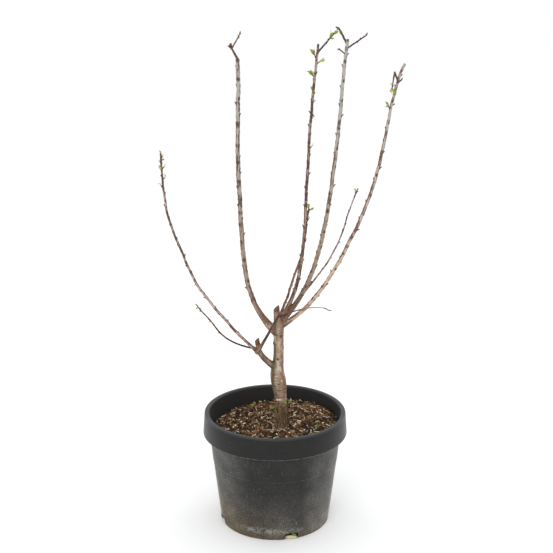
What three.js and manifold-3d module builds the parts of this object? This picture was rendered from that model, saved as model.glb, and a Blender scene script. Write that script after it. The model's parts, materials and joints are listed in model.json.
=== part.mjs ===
// Potted dwarf plum, as sold by a nursery at the end of winter: a short grafted trunk in a
// 10-litre black pot, long cut-back whips that sweep out and then up, and the first leaf
// buds just opening at their tips. Millimetres, +Z up. The origin is the centre of the pot's
// flat underside, and -Y is the side the plant is seen from.
import * as THREE from 'three';
import { mergeVertices } from 'three/addons/utils/BufferGeometryUtils.js';
import Module from 'manifold-3d';

const wasm = await Module();
wasm.setup();

// Clearances and fineness shared by the whole plant
const GAP = 0.3;
const RING_STEP = 20;
const TWIG_STEP = 9;
const LIMB_SIDES = 8;
const TWIG_SIDES = 5;
const TRUNK_SIDES = 14;
const POT_SIDES = 60;
const GOLDEN_ANGLE = 137.5;
const MERGE_REACH = 1e-4;
const PROBE = 1e-3;

// Pot: moulded nursery container with a folded-over collar and four drainage arches
const POT = {
  height: 229, rimRadius: 140.4, bore: 131, skirtRadius: 143.2, skirtFoot: 186,
  bodyTopRadius: 130.4, stepHeight: 130.5, stepRadius: 124.9, stepDepth: 0.7, stepRise: 1,
  baseRadius: 109, wall: 2.3, floor: 3, skirtWall: 2.2, foldHeight: 221, edge: 1.3,
};

// The rim is rolled: each point of the roll is so far in from the rim and down from the top
const RIM_ROLL = [[0, 3.2], [1, 1.1], [3.2, 0], [6.2, 0.2], [8.6, 1.4], [9.4, 4.2]];
const ARCH = { count: 4, firstTurn: 17.4, width: 29, height: 13.5, corner: 8, depth: 15 };

// Potting mix: coarse composted bark, lower at the left wall than at the right, and heaped
const MIX = {
  level: 194, riseAcross: 9, riseBack: 6, dome: 7, bump: 0.85, seatRadius: 15.5,
  heap: 2.4, heapRadius: 27, rings: 9, sides: 40, archRecess: 4, wallGap: 0.9, footGap: 0.6,
  topSpan: 1,
};
const MIX_WAVES = { across: 9, phase: 1.3, back: 11, shortBack: 7, shortAcross: 15 };
const CHIP = {
  count: 36, length: [8, 16], width: [3, 6], thickness: 2.6, clear: 9, wallClear: 2,
  tilt: 0.25, seed: 11,
};

// Trunk: rootstock, graft swelling and a slim stem, with the old leader cut off as a stub
const TRUNK = {
  foot: [11.9, -14, 200], top: 427, leanBack: 8, stockRadius: 11.7, stemRadius: 10,
  graftHeight: 299, graftSwell: 3.4, graftSpread: 26, taperFrom: 285, taperTo: 350,
  shiftFrom: 240, shiftTo: 320, shift: 4.9, belly: 2.8, bellyHeight: 315, bellySpread: 22,
  flare: 1.9, flareHeight: 7, forkSwell: 0.7, forkHeight: 408, forkSpread: 15,
  shoulder: 12, shoulderLeast: 0.25, ringStep: 10,
};

// Old wood sawn off at a slant: "cut" is the share of a stub at which the saw went through
const TOP_STUB = {
  start: [4.6, -6, 404], turn: 180, lift: 87.5, length: 50, foot: 7.2, tip: 5.6, cut: 0.83,
};
const LOW_STUB = {
  at: 0.9, turn: 186, lift: 80, length: 30, foot: 5.2, tip: 4.4, cut: 0.76, headRadius: 6.6,
};
const SAW_CUT = { normal: [-0.62, -0.3, 0.72], size: 60 };
const KNOT_SINK = 0.45;
const KNOTS = [
  { height: 391, turn: -62, size: 3.3 },
  { height: 374, turn: 176, size: 3.8 },
  { height: 366, turn: -4, size: 2.8 },
  { height: 345, turn: -98, size: 3.4 },
];

// Limbs. Each rises from its foot and reaches sideways and back; "sweep" is the share of the
// reach that it makes early, "power" how early, and "sway" a slow wander to the side. "root"
// is the share of its rise by which its foot runs back into the wood that it grows from.
const LIMBS = {
  low_bough: {
    from: [], foot: [1, -10, 325], rise: 44, reach: [-33.5, -16], sweep: 0.75, power: 1.7,
    footRadius: 5.9, tipRadius: 5.2, flare: 2, flareLength: 9, root: 0.1, bark: 'trunkBark',
  },
  left_leader: {
    from: [], foot: [-8.9, -6, 408], rise: 510, reach: [-60.8, 45], sweep: 0.94, power: 9.6,
    sway: 2.4, waves: 1.24, phase: 0.916, footRadius: 4.6, tipRadius: 3.6, flare: 3.2,
    flareLength: 20, root: 0.02, bark: 'silverBark',
  },
  grey_leader: {
    from: [], foot: [25, 2, 431], rise: 512, reach: [109, 45], sweep: 0.49, power: 8.5,
    sway: 3.7, waves: 0.84, phase: 0.75, footRadius: 4.3, tipRadius: 2.9, flare: 1.6,
    flareLength: 30, root: 0.045, bark: 'silverBark',
  },
  brown_leader: {
    from: ['grey_leader'], foot: [17, 5, 430], rise: 493, reach: [64, 95], sweep: 0.56,
    power: 7.9, depthSweep: 0, sway: 6, waves: 0.4, phase: 0.48, footRadius: 3.5,
    tipRadius: 2.3, flare: 1.6, flareLength: 26, root: 0.03, bark: 'brownBark',
  },
  right_leader: {
    from: ['grey_leader'], foot: [14.7, -8, 411], rise: 511, reach: [212.2, -80],
    sweep: 0.391, power: 6.97, sway: 9, waves: 1.073, phase: 0.607, footRadius: 3.8,
    tipRadius: 2.3, flare: 1.8, flareLength: 24, root: 0.02, bark: 'tanBark',
  },
  thin_shoot: {
    from: ['right_leader', 'grey_leader'], foot: [21.2, -11, 427], rise: 254,
    reach: [135.5, 14], sweep: 0.469, power: 2.12, sway: 4, waves: 1.214, phase: 0.633,
    footRadius: 1.9, tipRadius: 1.2, flare: 0.5, flareLength: 10, root: 0.02, bark: 'brownBark',
  },
  weak_twig: {
    from: ['grey_leader', 'right_leader', 'thin_shoot'], foot: [23, -12, 436.5], rise: 25.4,
    reach: [70.7, -43], sweep: 0.75, power: 0.5, footRadius: 1.4, tipRadius: 0.9, root: 0.35,
    bark: 'brownBark',
  },
  low_whip: {
    from: ['low_bough'], foot: [-33.2, -26, 363], rise: 406, reach: [-169.8, -90],
    sweep: 0.964, power: 2.23, sway: 1.5, waves: 2.56, phase: -0.188, footRadius: 2.8,
    tipRadius: 1.7, flare: 1.4, flareLength: 16, root: 0.01, bark: 'brownBark',
  },
  low_twig: {
    from: ['low_whip', 'low_bough'], foot: [-48, -33, 374], rise: 102, reach: [-98, -45],
    sweep: 0.49, power: 3.4, sway: 6, waves: 0.75, phase: 0.79, footRadius: 1.8,
    tipRadius: 1.1, root: 0.02, bark: 'brownBark',
  },
  crossing_twig: {
    from: ['low_bough', 'low_whip'], foot: [-28, -32, 375], rise: 281, reach: [89.8, -30],
    sweep: 0.73, power: 2.1, sway: 1.5, waves: 2.4, phase: 0.52, footRadius: 2.3,
    tipRadius: 1.6, flare: 1, flareLength: 12, root: 0.05, bark: 'brownBark',
  },
};

// Crown masses. Above "start", a share of its rise, a limb is a mass of its own: its stem up
// to "top", buds at a seeded spacing, and the named twigs. A twig leaves the stem "at" that
// share of the limb, heads for "turn" round the plant and "lift" above level, and may carry
// leaves [share along it, turn, lift, length, width] and further twigs.
const BUD = {
  spacing: [19, 31], length: [4.5, 6.5], width: 2.6, lean: 24, sink: 0.35, endShare: 0.02,
};
const LEAF = { thickness: 0.2, least: 0.5, sink: 1.2 };
const CROWNS = {
  left_crown_twigs: {
    limb: 'left_leader', start: 0.7, top: 1, seed: 21, twigs: [
      {
        at: 1, turn: -162, lift: 61, length: 33.5, foot: 2, tip: 1.5, twigs: [
          { at: 0.74, turn: 150, lift: 80, length: 9.5, foot: 1.4, tip: 1.3 },
          {
            at: 0.72, turn: 24, lift: 57, length: 32, foot: 1.2, tip: 0.8,
            leaves: [[0.7, 100, 80, 6, 2.4], [1, 30, 62, 6.5, 2.6]],
          },
        ],
      },
      { at: 0.861, turn: 34, lift: 61, length: 7.6, foot: 1.3, tip: 0.8 },
    ],
  },
  brown_crown_twigs: {
    limb: 'brown_leader', start: 0.62, top: 1.032, seed: 22, twigs: [
      {
        at: 1, turn: 11, lift: 48, length: 46, foot: 1.6, tip: 1.1,
        leaves: [[0.8, 20, 70, 15, 4.6], [1, 8, 34, 10.5, 4.2], [0.78, -10, 5, 8, 2]],
      },
      { at: 0.978, turn: -168, lift: 58, length: 8.8, foot: 1, tip: 0.8, leaves: [[1, -169, 62, 11.5, 5.6]] },
      { at: 0.953, turn: -25, lift: 49, length: 7.3, foot: 1, tip: 0.8, leaves: [[1, -10, 33, 13.5, 3.8]] },
      {
        at: 0.905, turn: -158, lift: 50, length: 8.4, foot: 1, tip: 0.8,
        leaves: [[1, -164, 47, 11, 5], [0.9, -80, 68, 8, 3.4]],
      },
      { at: 0.85, turn: -167, lift: 66, length: 4, foot: 0.9, tip: 0.8, leaves: [[1, -167, 74, 10.5, 2.6]] },
      { at: 0.828, turn: -79, lift: 62, length: 3.5, foot: 0.9, tip: 0.8, leaves: [[1, -79, 74, 7.5, 3.4]] },
      { at: 0.807, turn: -11, lift: 52, length: 4.5, foot: 0.9, tip: 0.7, leaves: [[1, -11, 60, 6, 2.2]] },
      { at: 0.764, turn: 166, lift: 62, length: 8.7, foot: 1.1, tip: 0.8 },
      { at: 0.746, turn: -9, lift: 53, length: 5, foot: 0.9, tip: 0.7, leaves: [[1, -9, 56, 7.5, 2.4]] },
      { at: 0.632, turn: -7, lift: 56, length: 8, foot: 0.9, tip: 0.7, leaves: [[1, -7, 58, 7, 2]] },
    ],
  },
  grey_crown_twigs: {
    limb: 'grey_leader', start: 0.7, top: 1.022, seed: 23, twigs: [
      {
        at: 1.003, turn: 160, lift: 60, length: 32, foot: 1.8, tip: 1.4,
        leaves: [[0.72, 175, 35, 6, 1.8], [0.66, 60, 80, 6, 2.4], [1, 155, 61, 12, 5]],
      },
      {
        at: 0.987, turn: -12, lift: 35, length: 45, foot: 1.4, tip: 1,
        leaves: [[0.72, 100, 75, 5, 2.4], [0.7, -60, 0, 4.5, 2.4], [1, -12, 45, 6.5, 3]],
      },
      { at: 0.966, turn: -157, lift: 39, length: 16, foot: 1, tip: 0.8, leaves: [[1, -157, 60, 4, 2.2]] },
    ],
  },
  right_crown_twigs: {
    limb: 'right_leader', start: 0.74, top: 1.008, seed: 24, twigs: [
      {
        at: 0.95, turn: -150, lift: 65, length: 16, foot: 1.4, tip: 1.3, twigs: [
          {
            at: 0.96, turn: -142, lift: -72, length: 28, foot: 1.2, tip: 0.8,
            leaves: [[1, -160, -62, 8.5, 3.6], [0.62, -40, -60, 4, 2]],
          },
        ],
      },
      { at: 0.94, turn: 14, lift: 38, length: 11, foot: 1.3, tip: 1 },
      { at: 0.913, turn: -110, lift: 30, length: 5.5, foot: 1.2, tip: 1.2, leaves: [[1, -75, -58, 10, 3]] },
      {
        at: 0.843, turn: -132, lift: 58, length: 9.5, foot: 1, tip: 0.8,
        leaves: [[1, -150, 58, 11, 2.8], [0.9, 175, 10, 7, 2]],
      },
      { at: 0.861, turn: 20, lift: 20, length: 7, foot: 1.2, tip: 0.9 },
    ],
  },
  low_crown_twigs: {
    limb: 'low_whip', start: 0.82, top: 1, seed: 25, twigs: [
      { at: 0.985, turn: 13, lift: 48, length: 4, foot: 0.9, tip: 0.8, leaves: [[1, 13, 60, 5, 3]] },
      { at: 0.972, turn: -24, lift: 41, length: 3, foot: 0.9, tip: 0.8, leaves: [[1, -24, 41, 5, 3.6]] },
      { at: 0.957, turn: 145, lift: 60, length: 3, foot: 0.9, tip: 0.8, leaves: [[1, 145, 60, 5.5, 2.4]] },
      { at: 0.935, turn: -12, lift: 47, length: 7, foot: 0.8, tip: 0.7, leaves: [[1, 0, 65, 7, 2.4]] },
      { at: 0.928, turn: -141, lift: 60, length: 3, foot: 0.9, tip: 0.8, leaves: [[1, -141, 69, 8, 3.4]] },
      { at: 0.89, turn: 13, lift: 31, length: 5.2, foot: 0.9, tip: 0.7, leaves: [[1, 0, 85, 7.5, 2.2]] },
      { at: 0.849, turn: -165, lift: 55, length: 6.8, foot: 0.9, tip: 0.7, leaves: [[1, -169, 50, 7, 2.2]] },
      { at: 1, turn: 170, lift: 84, length: 2, foot: 1.3, tip: 1.1, leaves: [[1, -120, 80, 6, 4.4]] },
    ],
  },
  thin_crown_twigs: {
    limb: 'thin_shoot', start: 0.86, top: 1, seed: 26, twigs: [
      { at: 0.955, turn: -134, lift: 76, length: 3, foot: 0.8, tip: 0.7, leaves: [[1, -134, 80, 9, 2.4]] },
    ],
  },
  crossing_crown_twigs: {
    limb: 'crossing_twig', start: 0.87, top: 1, seed: 27, twigs: [
      { at: 0.911, turn: -21, lift: 61, length: 8, foot: 0.9, tip: 0.7, leaves: [[1, -10, 75, 5.5, 2.6]] },
      { at: 0.993, turn: -15, lift: 30, length: 3, foot: 0.9, tip: 0.8, leaves: [[1, -15, 26, 8, 3]] },
      { at: 0.979, turn: 167, lift: 42, length: 3, foot: 0.9, tip: 0.8, leaves: [[1, 167, 55, 5, 2.4]] },
      { at: 1, turn: -147, lift: 80, length: 2.5, foot: 1.2, tip: 1, leaves: [[1, -147, 80, 9.5, 3.6]] },
    ],
  },
};
const WEAK_TIP = { turn: -27, lift: -17, length: 12, foot: 0.9, tip: 0.7 };
const LOW_TWIG_LEAVES = [
  [0.945, -154, -15, 5, 2], [0.897, 40, 58, 6, 2], [0.864, -152, 20, 5, 2], [0.648, -154, -4, 5, 2],
  [1, -162, 50, 4, 2],
];

const FINISHES = {
  pot: { color: 0x33342f, roughness: 0.5, metalness: 0 },
  mix: { color: 0x4b3526, roughness: 0.95, metalness: 0 },
  trunkBark: { color: 0x7f6b57, roughness: 0.8, metalness: 0 },
  silverBark: { color: 0x9a8c80, roughness: 0.6, metalness: 0 },
  brownBark: { color: 0x6e5248, roughness: 0.6, metalness: 0 },
  tanBark: { color: 0x97806d, roughness: 0.6, metalness: 0 },
};

// Small helpers

function seededDraw(seed) {
  let state = seed * 2654435761 >>> 0;
  return (low = 0, high = 1) => {
    state = (state + 0x6d2b79f5) >>> 0;
    let mixed = Math.imul(state ^ (state >>> 15), state | 1);
    mixed = (mixed + Math.imul(mixed ^ (mixed >>> 7), mixed | 61)) ^ mixed;
    return low + (high - low) * ((mixed ^ (mixed >>> 14)) >>> 0) / 4294967296;
  };
}

function hill(value, middle, spread) {
  return Math.exp(-(((value - middle) / spread) ** 2));
}

function heading(turn, lift) {
  const turned = THREE.MathUtils.degToRad(turn);
  const lifted = THREE.MathUtils.degToRad(lift);
  const level = Math.cos(lifted);
  return new THREE.Vector3(level * Math.cos(turned), level * Math.sin(turned), Math.sin(lifted));
}

// A closed geometry becomes a solid once its seams are merged and its empty faces dropped
function solidOf(geometry) {
  const bare = geometry.clone();
  for (const extra of ['normal', 'uv']) bare.deleteAttribute(extra);
  const merged = mergeVertices(bare, MERGE_REACH);
  const corners = merged.index.array;
  const kept = [];
  for (let i = 0; i < corners.length; i += 3) {
    const [a, b, c] = corners.subarray(i, i + 3);
    if (a !== b && b !== c && c !== a) kept.push(a, b, c);
  }
  return new wasm.Manifold(new wasm.Mesh({
    numProp: 3,
    vertProperties: new Float32Array(merged.attributes.position.array),
    triVerts: new Uint32Array(kept),
  }));
}

function joined(solids) {
  return solids.reduce((whole, solid) => whole.add(solid));
}

function largestBody(solid) {
  return solid.decompose().reduce((best, body) => (body.volume() > best.volume() ? body : best));
}

function meshOf(name, solid, finish) {
  const body = largestBody(solid).getMesh();
  const geometry = new THREE.BufferGeometry();
  geometry.setAttribute('position', new THREE.BufferAttribute(body.vertProperties, 3));
  geometry.setIndex(new THREE.BufferAttribute(body.triVerts, 1));
  geometry.computeVertexNormals();
  const mesh = new THREE.Mesh(geometry, new THREE.MeshStandardMaterial(FINISHES[finish]));
  mesh.name = name;
  return mesh;
}

// Round wood: a lathe of the radii along a path, each ring then set across the path

function woodAlong(path, { from = 0, to = 1, sides, step, extra = 0 }) {
  const length = path.pointAt(from).distanceTo(path.pointAt(to));
  const rings = Math.max(2, Math.ceil(length / step));
  const shares = Array.from({ length: rings + 1 }, (_, i) => from + (to - from) * i / rings);
  const grow = extra / Math.cos(Math.PI / sides);
  const outline = shares.map((share, i) => new THREE.Vector2(path.radiusAt(share) + grow, i));
  const profile = [new THREE.Vector2(0, 0), ...outline, new THREE.Vector2(0, rings)];
  const geometry = new THREE.LatheGeometry(profile, sides);
  const frames = shares.map((share) => path.frameAt(share));
  const places = geometry.attributes.position;
  for (let i = 0; i < places.count; i += 1) {
    const { point, side, across } = frames[Math.round(places.getY(i))];
    const place = point.clone()
      .addScaledVector(side, places.getX(i))
      .addScaledVector(across, places.getZ(i));
    places.setXYZ(i, place.x, place.y, place.z);
  }
  return solidOf(geometry);
}

class WoodPath {
  frameAt(share) {
    const point = this.pointAt(share);
    const along = this.pointAt(share + PROBE).sub(this.pointAt(share - PROBE)).normalize();
    const steep = Math.abs(along.y) > Math.abs(along.x) && Math.abs(along.y) > Math.abs(along.z);
    const guide = steep ? new THREE.Vector3(1, 0, 0) : new THREE.Vector3(0, 1, 0);
    const side = along.clone().cross(guide).normalize();
    return { point, along, side, across: side.clone().cross(along) };
  }
}

class Limb extends WoodPath {
  constructor(size) {
    super();
    const plain = { depthSweep: 1, sway: 0, waves: 1, phase: 0, flare: 0, flareLength: 1 };
    Object.assign(this, plain, size);
  }

  pointAt(share) {
    const early = 1 - (1 - Math.min(share, 1)) ** this.power;
    const swept = this.sweep * early + (1 - this.sweep) * share;
    const back = this.depthSweep * swept + (1 - this.depthSweep) * share;
    const inside = Math.min(Math.max(share, 0), 1);
    const fade = Math.sqrt(Math.sin(Math.PI * inside));
    const wander = this.sway * fade * Math.sin(2 * Math.PI * (this.waves * share + this.phase));
    return new THREE.Vector3(
      this.foot[0] + this.reach[0] * swept + wander,
      this.foot[1] + this.reach[1] * back,
      this.foot[2] + this.rise * share,
    );
  }

  radiusAt(share) {
    const taper = THREE.MathUtils.lerp(this.footRadius, this.tipRadius, Math.max(share, 0));
    return taper + this.flare * Math.exp(-Math.max(share, 0) * this.rise / this.flareLength);
  }

  shareOf(millimetres, share) {
    return millimetres * PROBE / this.pointAt(share).distanceTo(this.pointAt(share - PROBE));
  }
}

class Twig extends WoodPath {
  constructor(start, { turn, lift, length, foot, tip }) {
    super();
    Object.assign(this, { start, way: heading(turn, lift), length, foot, tip });
  }

  pointAt(share) {
    return this.start.clone().addScaledVector(this.way, this.length * share);
  }

  radiusAt(share) {
    return THREE.MathUtils.lerp(this.foot, this.tip, share);
  }
}

class Trunk extends WoodPath {
  pointAt(share) {
    const z = THREE.MathUtils.lerp(TRUNK.foot[2], TRUNK.top, share);
    const shift = TRUNK.shift * THREE.MathUtils.smoothstep(z, TRUNK.shiftFrom, TRUNK.shiftTo);
    const belly = TRUNK.belly * hill(z, TRUNK.bellyHeight, TRUNK.bellySpread);
    return new THREE.Vector3(TRUNK.foot[0] - shift - belly, TRUNK.foot[1] + TRUNK.leanBack * share, z);
  }

  radiusAt(share) {
    const z = THREE.MathUtils.lerp(TRUNK.foot[2], TRUNK.top, share);
    const slim = THREE.MathUtils.smoothstep(z, TRUNK.taperFrom, TRUNK.taperTo);
    const under = Math.max(TRUNK.shoulderLeast, (TRUNK.top - z) / TRUNK.shoulder);
    const shoulder = Math.min(1, Math.sqrt(under));
    return shoulder * (
      THREE.MathUtils.lerp(TRUNK.stockRadius, TRUNK.stemRadius, slim)
      + TRUNK.graftSwell * hill(z, TRUNK.graftHeight, TRUNK.graftSpread)
      + TRUNK.forkSwell * hill(z, TRUNK.forkHeight, TRUNK.forkSpread)
      + TRUNK.flare * Math.exp((TRUNK.foot[2] - z) / TRUNK.flareHeight)
    );
  }

  // The trunk's foot is cut level with the potting mix, so its rings lie flat
  frameAt(share) {
    return {
      point: this.pointAt(share),
      side: new THREE.Vector3(1, 0, 0),
      across: new THREE.Vector3(0, -1, 0),
    };
  }
}

// Pot

function potProfile() {
  const skirtInner = POT.skirtRadius - POT.skirtWall;
  const skirtMiddle = POT.skirtRadius - POT.skirtWall / 2;
  const roll = RIM_ROLL.map(([inward, down]) => [POT.rimRadius - inward, POT.height - down]);
  const corners = [
    [0, 0], [POT.baseRadius - POT.edge, 0], [POT.baseRadius, POT.edge],
    [POT.stepRadius - POT.stepDepth, POT.stepHeight - POT.stepRise],
    [POT.stepRadius, POT.stepHeight], [POT.bodyTopRadius, POT.skirtFoot],
    [POT.bore + POT.wall, POT.foldHeight], [POT.rimRadius - POT.skirtWall, POT.foldHeight],
    [skirtInner, POT.skirtFoot + POT.edge], [skirtMiddle, POT.skirtFoot],
    [POT.skirtRadius, POT.skirtFoot + POT.edge], ...roll,
    [POT.bodyTopRadius - POT.wall, POT.skirtFoot], [POT.baseRadius - POT.wall, POT.floor],
    [0, POT.floor],
  ];
  return corners.map(([radius, height]) => new THREE.Vector2(radius, height));
}

// A drainage arch, cut outwards through the foot of the wall; "turn" is measured from the front
function archCutter(turn, innerRadius) {
  const half = ARCH.width / 2;
  const spring = ARCH.height - ARCH.corner;
  const outline = new THREE.Shape();
  outline.moveTo(-half, -ARCH.height);
  outline.lineTo(half, -ARCH.height);
  outline.lineTo(half, spring);
  outline.quadraticCurveTo(half, ARCH.height, half - ARCH.corner, ARCH.height);
  outline.lineTo(ARCH.corner - half, ARCH.height);
  outline.quadraticCurveTo(-half, ARCH.height, -half, spring);
  outline.closePath();
  const depth = ARCH.depth + POT.baseRadius - innerRadius;
  const block = new THREE.ExtrudeGeometry(outline, { depth, bevelEnabled: false, curveSegments: 4 });
  block.translate(0, 0, innerRadius);
  block.rotateX(Math.PI / 2);
  block.rotateZ(THREE.MathUtils.degToRad(turn));
  return solidOf(block);
}

function withArches(solid, innerRadius) {
  let cut = solid;
  for (let i = 0; i < ARCH.count; i += 1) {
    cut = cut.subtract(archCutter(ARCH.firstTurn + i * 360 / ARCH.count, innerRadius));
  }
  return cut;
}

function potSolid() {
  const shell = new THREE.LatheGeometry(potProfile(), POT_SIDES).rotateX(Math.PI / 2);
  return withArches(solidOf(shell), POT.baseRadius - ARCH.depth);
}

// Potting mix

function mixHeight(x, y) {
  const radius = POT.bodyTopRadius;
  const slope = MIX.riseAcross * x / radius + MIX.riseBack * y / radius;
  const dome = MIX.dome * (1 - (x * x + y * y) / (radius * radius));
  const waves = Math.sin(x / MIX_WAVES.across + MIX_WAVES.phase) * Math.cos(y / MIX_WAVES.back);
  const shortWaves = Math.sin(y / MIX_WAVES.shortBack - x / MIX_WAVES.shortAcross);
  return MIX.level + slope + dome + MIX.bump * (waves + shortWaves);
}

// The surface is flat under the trunk's foot and heaped a little around it
function mixSurface(x, y) {
  const [footX, footY, soilLevel] = TRUNK.foot;
  const away = Math.hypot(x - footX, y - footY);
  if (away < MIX.seatRadius + GAP) return soilLevel - GAP;
  const out = THREE.MathUtils.smoothstep(away, MIX.seatRadius, MIX.heapRadius);
  return THREE.MathUtils.lerp(soilLevel + MIX.heap, mixHeight(x, y), out);
}

function mixSolid() {
  const topRadius = POT.bodyTopRadius - POT.wall - MIX.wallGap;
  const footRadius = POT.baseRadius - POT.wall - MIX.footGap;
  const bottom = POT.floor + GAP;
  const profile = [
    new THREE.Vector2(0, bottom),
    new THREE.Vector2(footRadius, bottom),
    new THREE.Vector2(topRadius, MIX.level),
  ];
  for (let i = MIX.rings - 1; i >= 1; i -= 1) {
    const radius = MIX.seatRadius + (topRadius - MIX.seatRadius) * (i - 1) / (MIX.rings - 1);
    profile.push(new THREE.Vector2(radius, MIX.level));
  }
  profile.push(new THREE.Vector2(0, MIX.level));
  const heap = new THREE.LatheGeometry(profile, MIX.sides).rotateX(Math.PI / 2);
  const places = heap.attributes.position;
  for (let i = 0; i < places.count; i += 1) {
    if (places.getZ(i) < MIX.level - MIX.topSpan) continue;
    const out = Math.hypot(places.getX(i), places.getY(i)) - MIX.seatRadius;
    const inward = 1 - Math.max(0, out) / (topRadius - MIX.seatRadius);
    const x = places.getX(i) + TRUNK.foot[0] * inward;
    const y = places.getY(i) + TRUNK.foot[1] * inward;
    places.setXYZ(i, x, y, mixSurface(x, y));
  }
  const innerRadius = POT.baseRadius - POT.wall - MIX.archRecess;
  return withArches(solidOf(heap), innerRadius).add(chips(topRadius));
}

// Chips of bark lie half sunk on the surface, clear of the trunk and the wall
function chips(topRadius) {
  const draw = seededDraw(CHIP.seed);
  const laid = [];
  while (laid.length < CHIP.count) {
    const length = draw(...CHIP.length);
    const reach = topRadius - length / 2 - CHIP.wallClear;
    const x = draw(-reach, reach);
    const y = draw(-reach, reach);
    const turn = draw(0, Math.PI);
    const tilt = draw(-CHIP.tilt, CHIP.tilt);
    const away = Math.hypot(x - TRUNK.foot[0], y - TRUNK.foot[1]);
    if (Math.hypot(x, y) > reach || away < MIX.seatRadius + CHIP.clear) continue;
    const chip = new THREE.BoxGeometry(length, draw(...CHIP.width), CHIP.thickness);
    chip.rotateX(tilt).rotateY(tilt / 2).rotateZ(turn);
    laid.push(solidOf(chip.translate(x, y, mixSurface(x, y))));
  }
  return joined(laid);
}

// Trunk

const trunk = new Trunk();

function trunkSolid(extra = 0) {
  const stem = woodAlong(trunk, { sides: TRUNK_SIDES, step: TRUNK.ringStep, extra });
  const knots = KNOTS.map(({ height, turn, size }) => {
    const share = (height - TRUNK.foot[2]) / (TRUNK.top - TRUNK.foot[2]);
    const out = heading(turn, 0).multiplyScalar(trunk.radiusAt(share) - size * KNOT_SINK);
    const place = trunk.pointAt(share).add(out);
    const knot = new THREE.IcosahedronGeometry(size + extra, 1);
    return solidOf(knot.translate(place.x, place.y, place.z));
  });
  const stub = sawnStub(new THREE.Vector3(...TOP_STUB.start), TOP_STUB, extra);
  return joined([stem, stub, ...knots]);
}

// What is left of an old shoot: a short stub with a slanting saw cut
function sawnStub(start, size, extra) {
  const path = new Twig(start, size);
  const stub = woodAlong(path, { sides: LIMB_SIDES, step: RING_STEP, extra });
  const normal = new THREE.Vector3(...SAW_CUT.normal).normalize();
  const centre = path.pointAt(size.cut).addScaledVector(normal, SAW_CUT.size / 2 + extra);
  const block = new THREE.BoxGeometry(SAW_CUT.size, SAW_CUT.size, SAW_CUT.size);
  block.applyQuaternion(new THREE.Quaternion().setFromUnitVectors(new THREE.Vector3(0, 0, 1), normal));
  return stub.subtract(solidOf(block.translate(centre.x, centre.y, centre.z)));
}

// Limbs

const limbs = Object.fromEntries(
  Object.entries(LIMBS).map(([name, size]) => [name, new Limb(size)]),
);
const crownStart = Object.fromEntries(
  Object.values(CROWNS).map(({ limb, start }) => [limb, start]),
);

// A slim pointed solid along a direction, for buds and for the blades of opening leaves
function blade(base, way, length, width, thickness) {
  const shape = new THREE.OctahedronGeometry(1, 0);
  shape.scale(width / 2, length / 2, thickness / 2);
  shape.translate(0, length / 2, 0);
  shape.applyQuaternion(new THREE.Quaternion().setFromUnitVectors(new THREE.Vector3(0, 1, 0), way));
  return solidOf(shape.translate(base.x, base.y, base.z));
}

function leafSolid(path, [share, turn, lift, length, width]) {
  const way = heading(turn, lift);
  const base = path.pointAt(share).addScaledVector(way, -LEAF.sink);
  return blade(base, way, length + LEAF.sink, width, Math.max(width * LEAF.thickness, LEAF.least));
}

function budSolid(path, share, turn, draw) {
  const { point, along, side, across } = path.frameAt(share);
  const angle = THREE.MathUtils.degToRad(turn);
  const out = side.multiplyScalar(Math.cos(angle)).addScaledVector(across, Math.sin(angle));
  const lean = THREE.MathUtils.degToRad(BUD.lean);
  const way = along.multiplyScalar(Math.cos(lean)).addScaledVector(out, Math.sin(lean));
  const base = point.addScaledVector(out, path.radiusAt(share) - BUD.sink * BUD.width);
  return blade(base, way, draw(...BUD.length), BUD.width, BUD.width);
}

// Buds stand at seeded distances up a stem, each turned on from the last by the golden angle
function budsAlong(limb, from, seed) {
  const draw = seededDraw(seed);
  const buds = [];
  let turn = draw(0, 360);
  let share = from + limb.shareOf(draw(...BUD.spacing) / 2 + BUD.length[1], from);
  while (share < 1 - BUD.endShare) {
    buds.push(budSolid(limb, share, turn, draw));
    turn += GOLDEN_ANGLE;
    share += limb.shareOf(draw(...BUD.spacing), share);
  }
  return buds;
}

// A twig with its leaves, and the twigs that branch from it in turn
function twigSolids(start, twig) {
  const path = new Twig(start, twig);
  const grown = [woodAlong(path, { sides: TWIG_SIDES, step: TWIG_STEP })];
  for (const leaf of twig.leaves ?? []) grown.push(leafSolid(path, leaf));
  for (const child of twig.twigs ?? []) grown.push(...twigSolids(path.pointAt(child.at), child));
  return grown;
}

function crownSolid({ limb: name, start, top, seed, twigs }) {
  const limb = limbs[name];
  const from = start + limb.shareOf(GAP, start);
  const stem = woodAlong(limb, { from, to: top, sides: LIMB_SIDES, step: RING_STEP });
  const grown = twigs.flatMap((twig) => twigSolids(limb.pointAt(twig.at), twig));
  return joined([stem, ...budsAlong(limb, from, seed), ...grown]);
}

// Wood that ends a limb without being a crown mass: a saw-cut stub, a bent tip or small buds
function endings(name, extra) {
  const limb = limbs[name];
  const tip = limb.pointAt(1);
  if (name === 'low_bough') {
    const head = new THREE.IcosahedronGeometry(LOW_STUB.headRadius + extra, 1);
    return [
      sawnStub(limb.pointAt(LOW_STUB.at), LOW_STUB, extra),
      solidOf(head.translate(tip.x, tip.y, tip.z)),
    ];
  }
  if (name === 'weak_twig') return twigSolids(tip, WEAK_TIP);
  if (name === 'low_twig') return LOW_TWIG_LEAVES.map((leaf) => leafSolid(limb, leaf));
  return [];
}

function limbWood(name, extra = 0) {
  const limb = limbs[name];
  const reach = { from: -limb.root, to: crownStart[name] ?? 1, sides: LIMB_SIDES };
  return joined([woodAlong(limb, { ...reach, step: RING_STEP, extra }), ...endings(name, extra)]);
}

// The plant, put together from the pot upwards

const plant = new THREE.Group();
plant.add(meshOf('pot', potSolid(), 'pot'));
plant.add(meshOf('potting_mix', mixSolid(), 'mix'));
plant.add(meshOf('trunk', trunkSolid(), 'trunkBark'));

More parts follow.
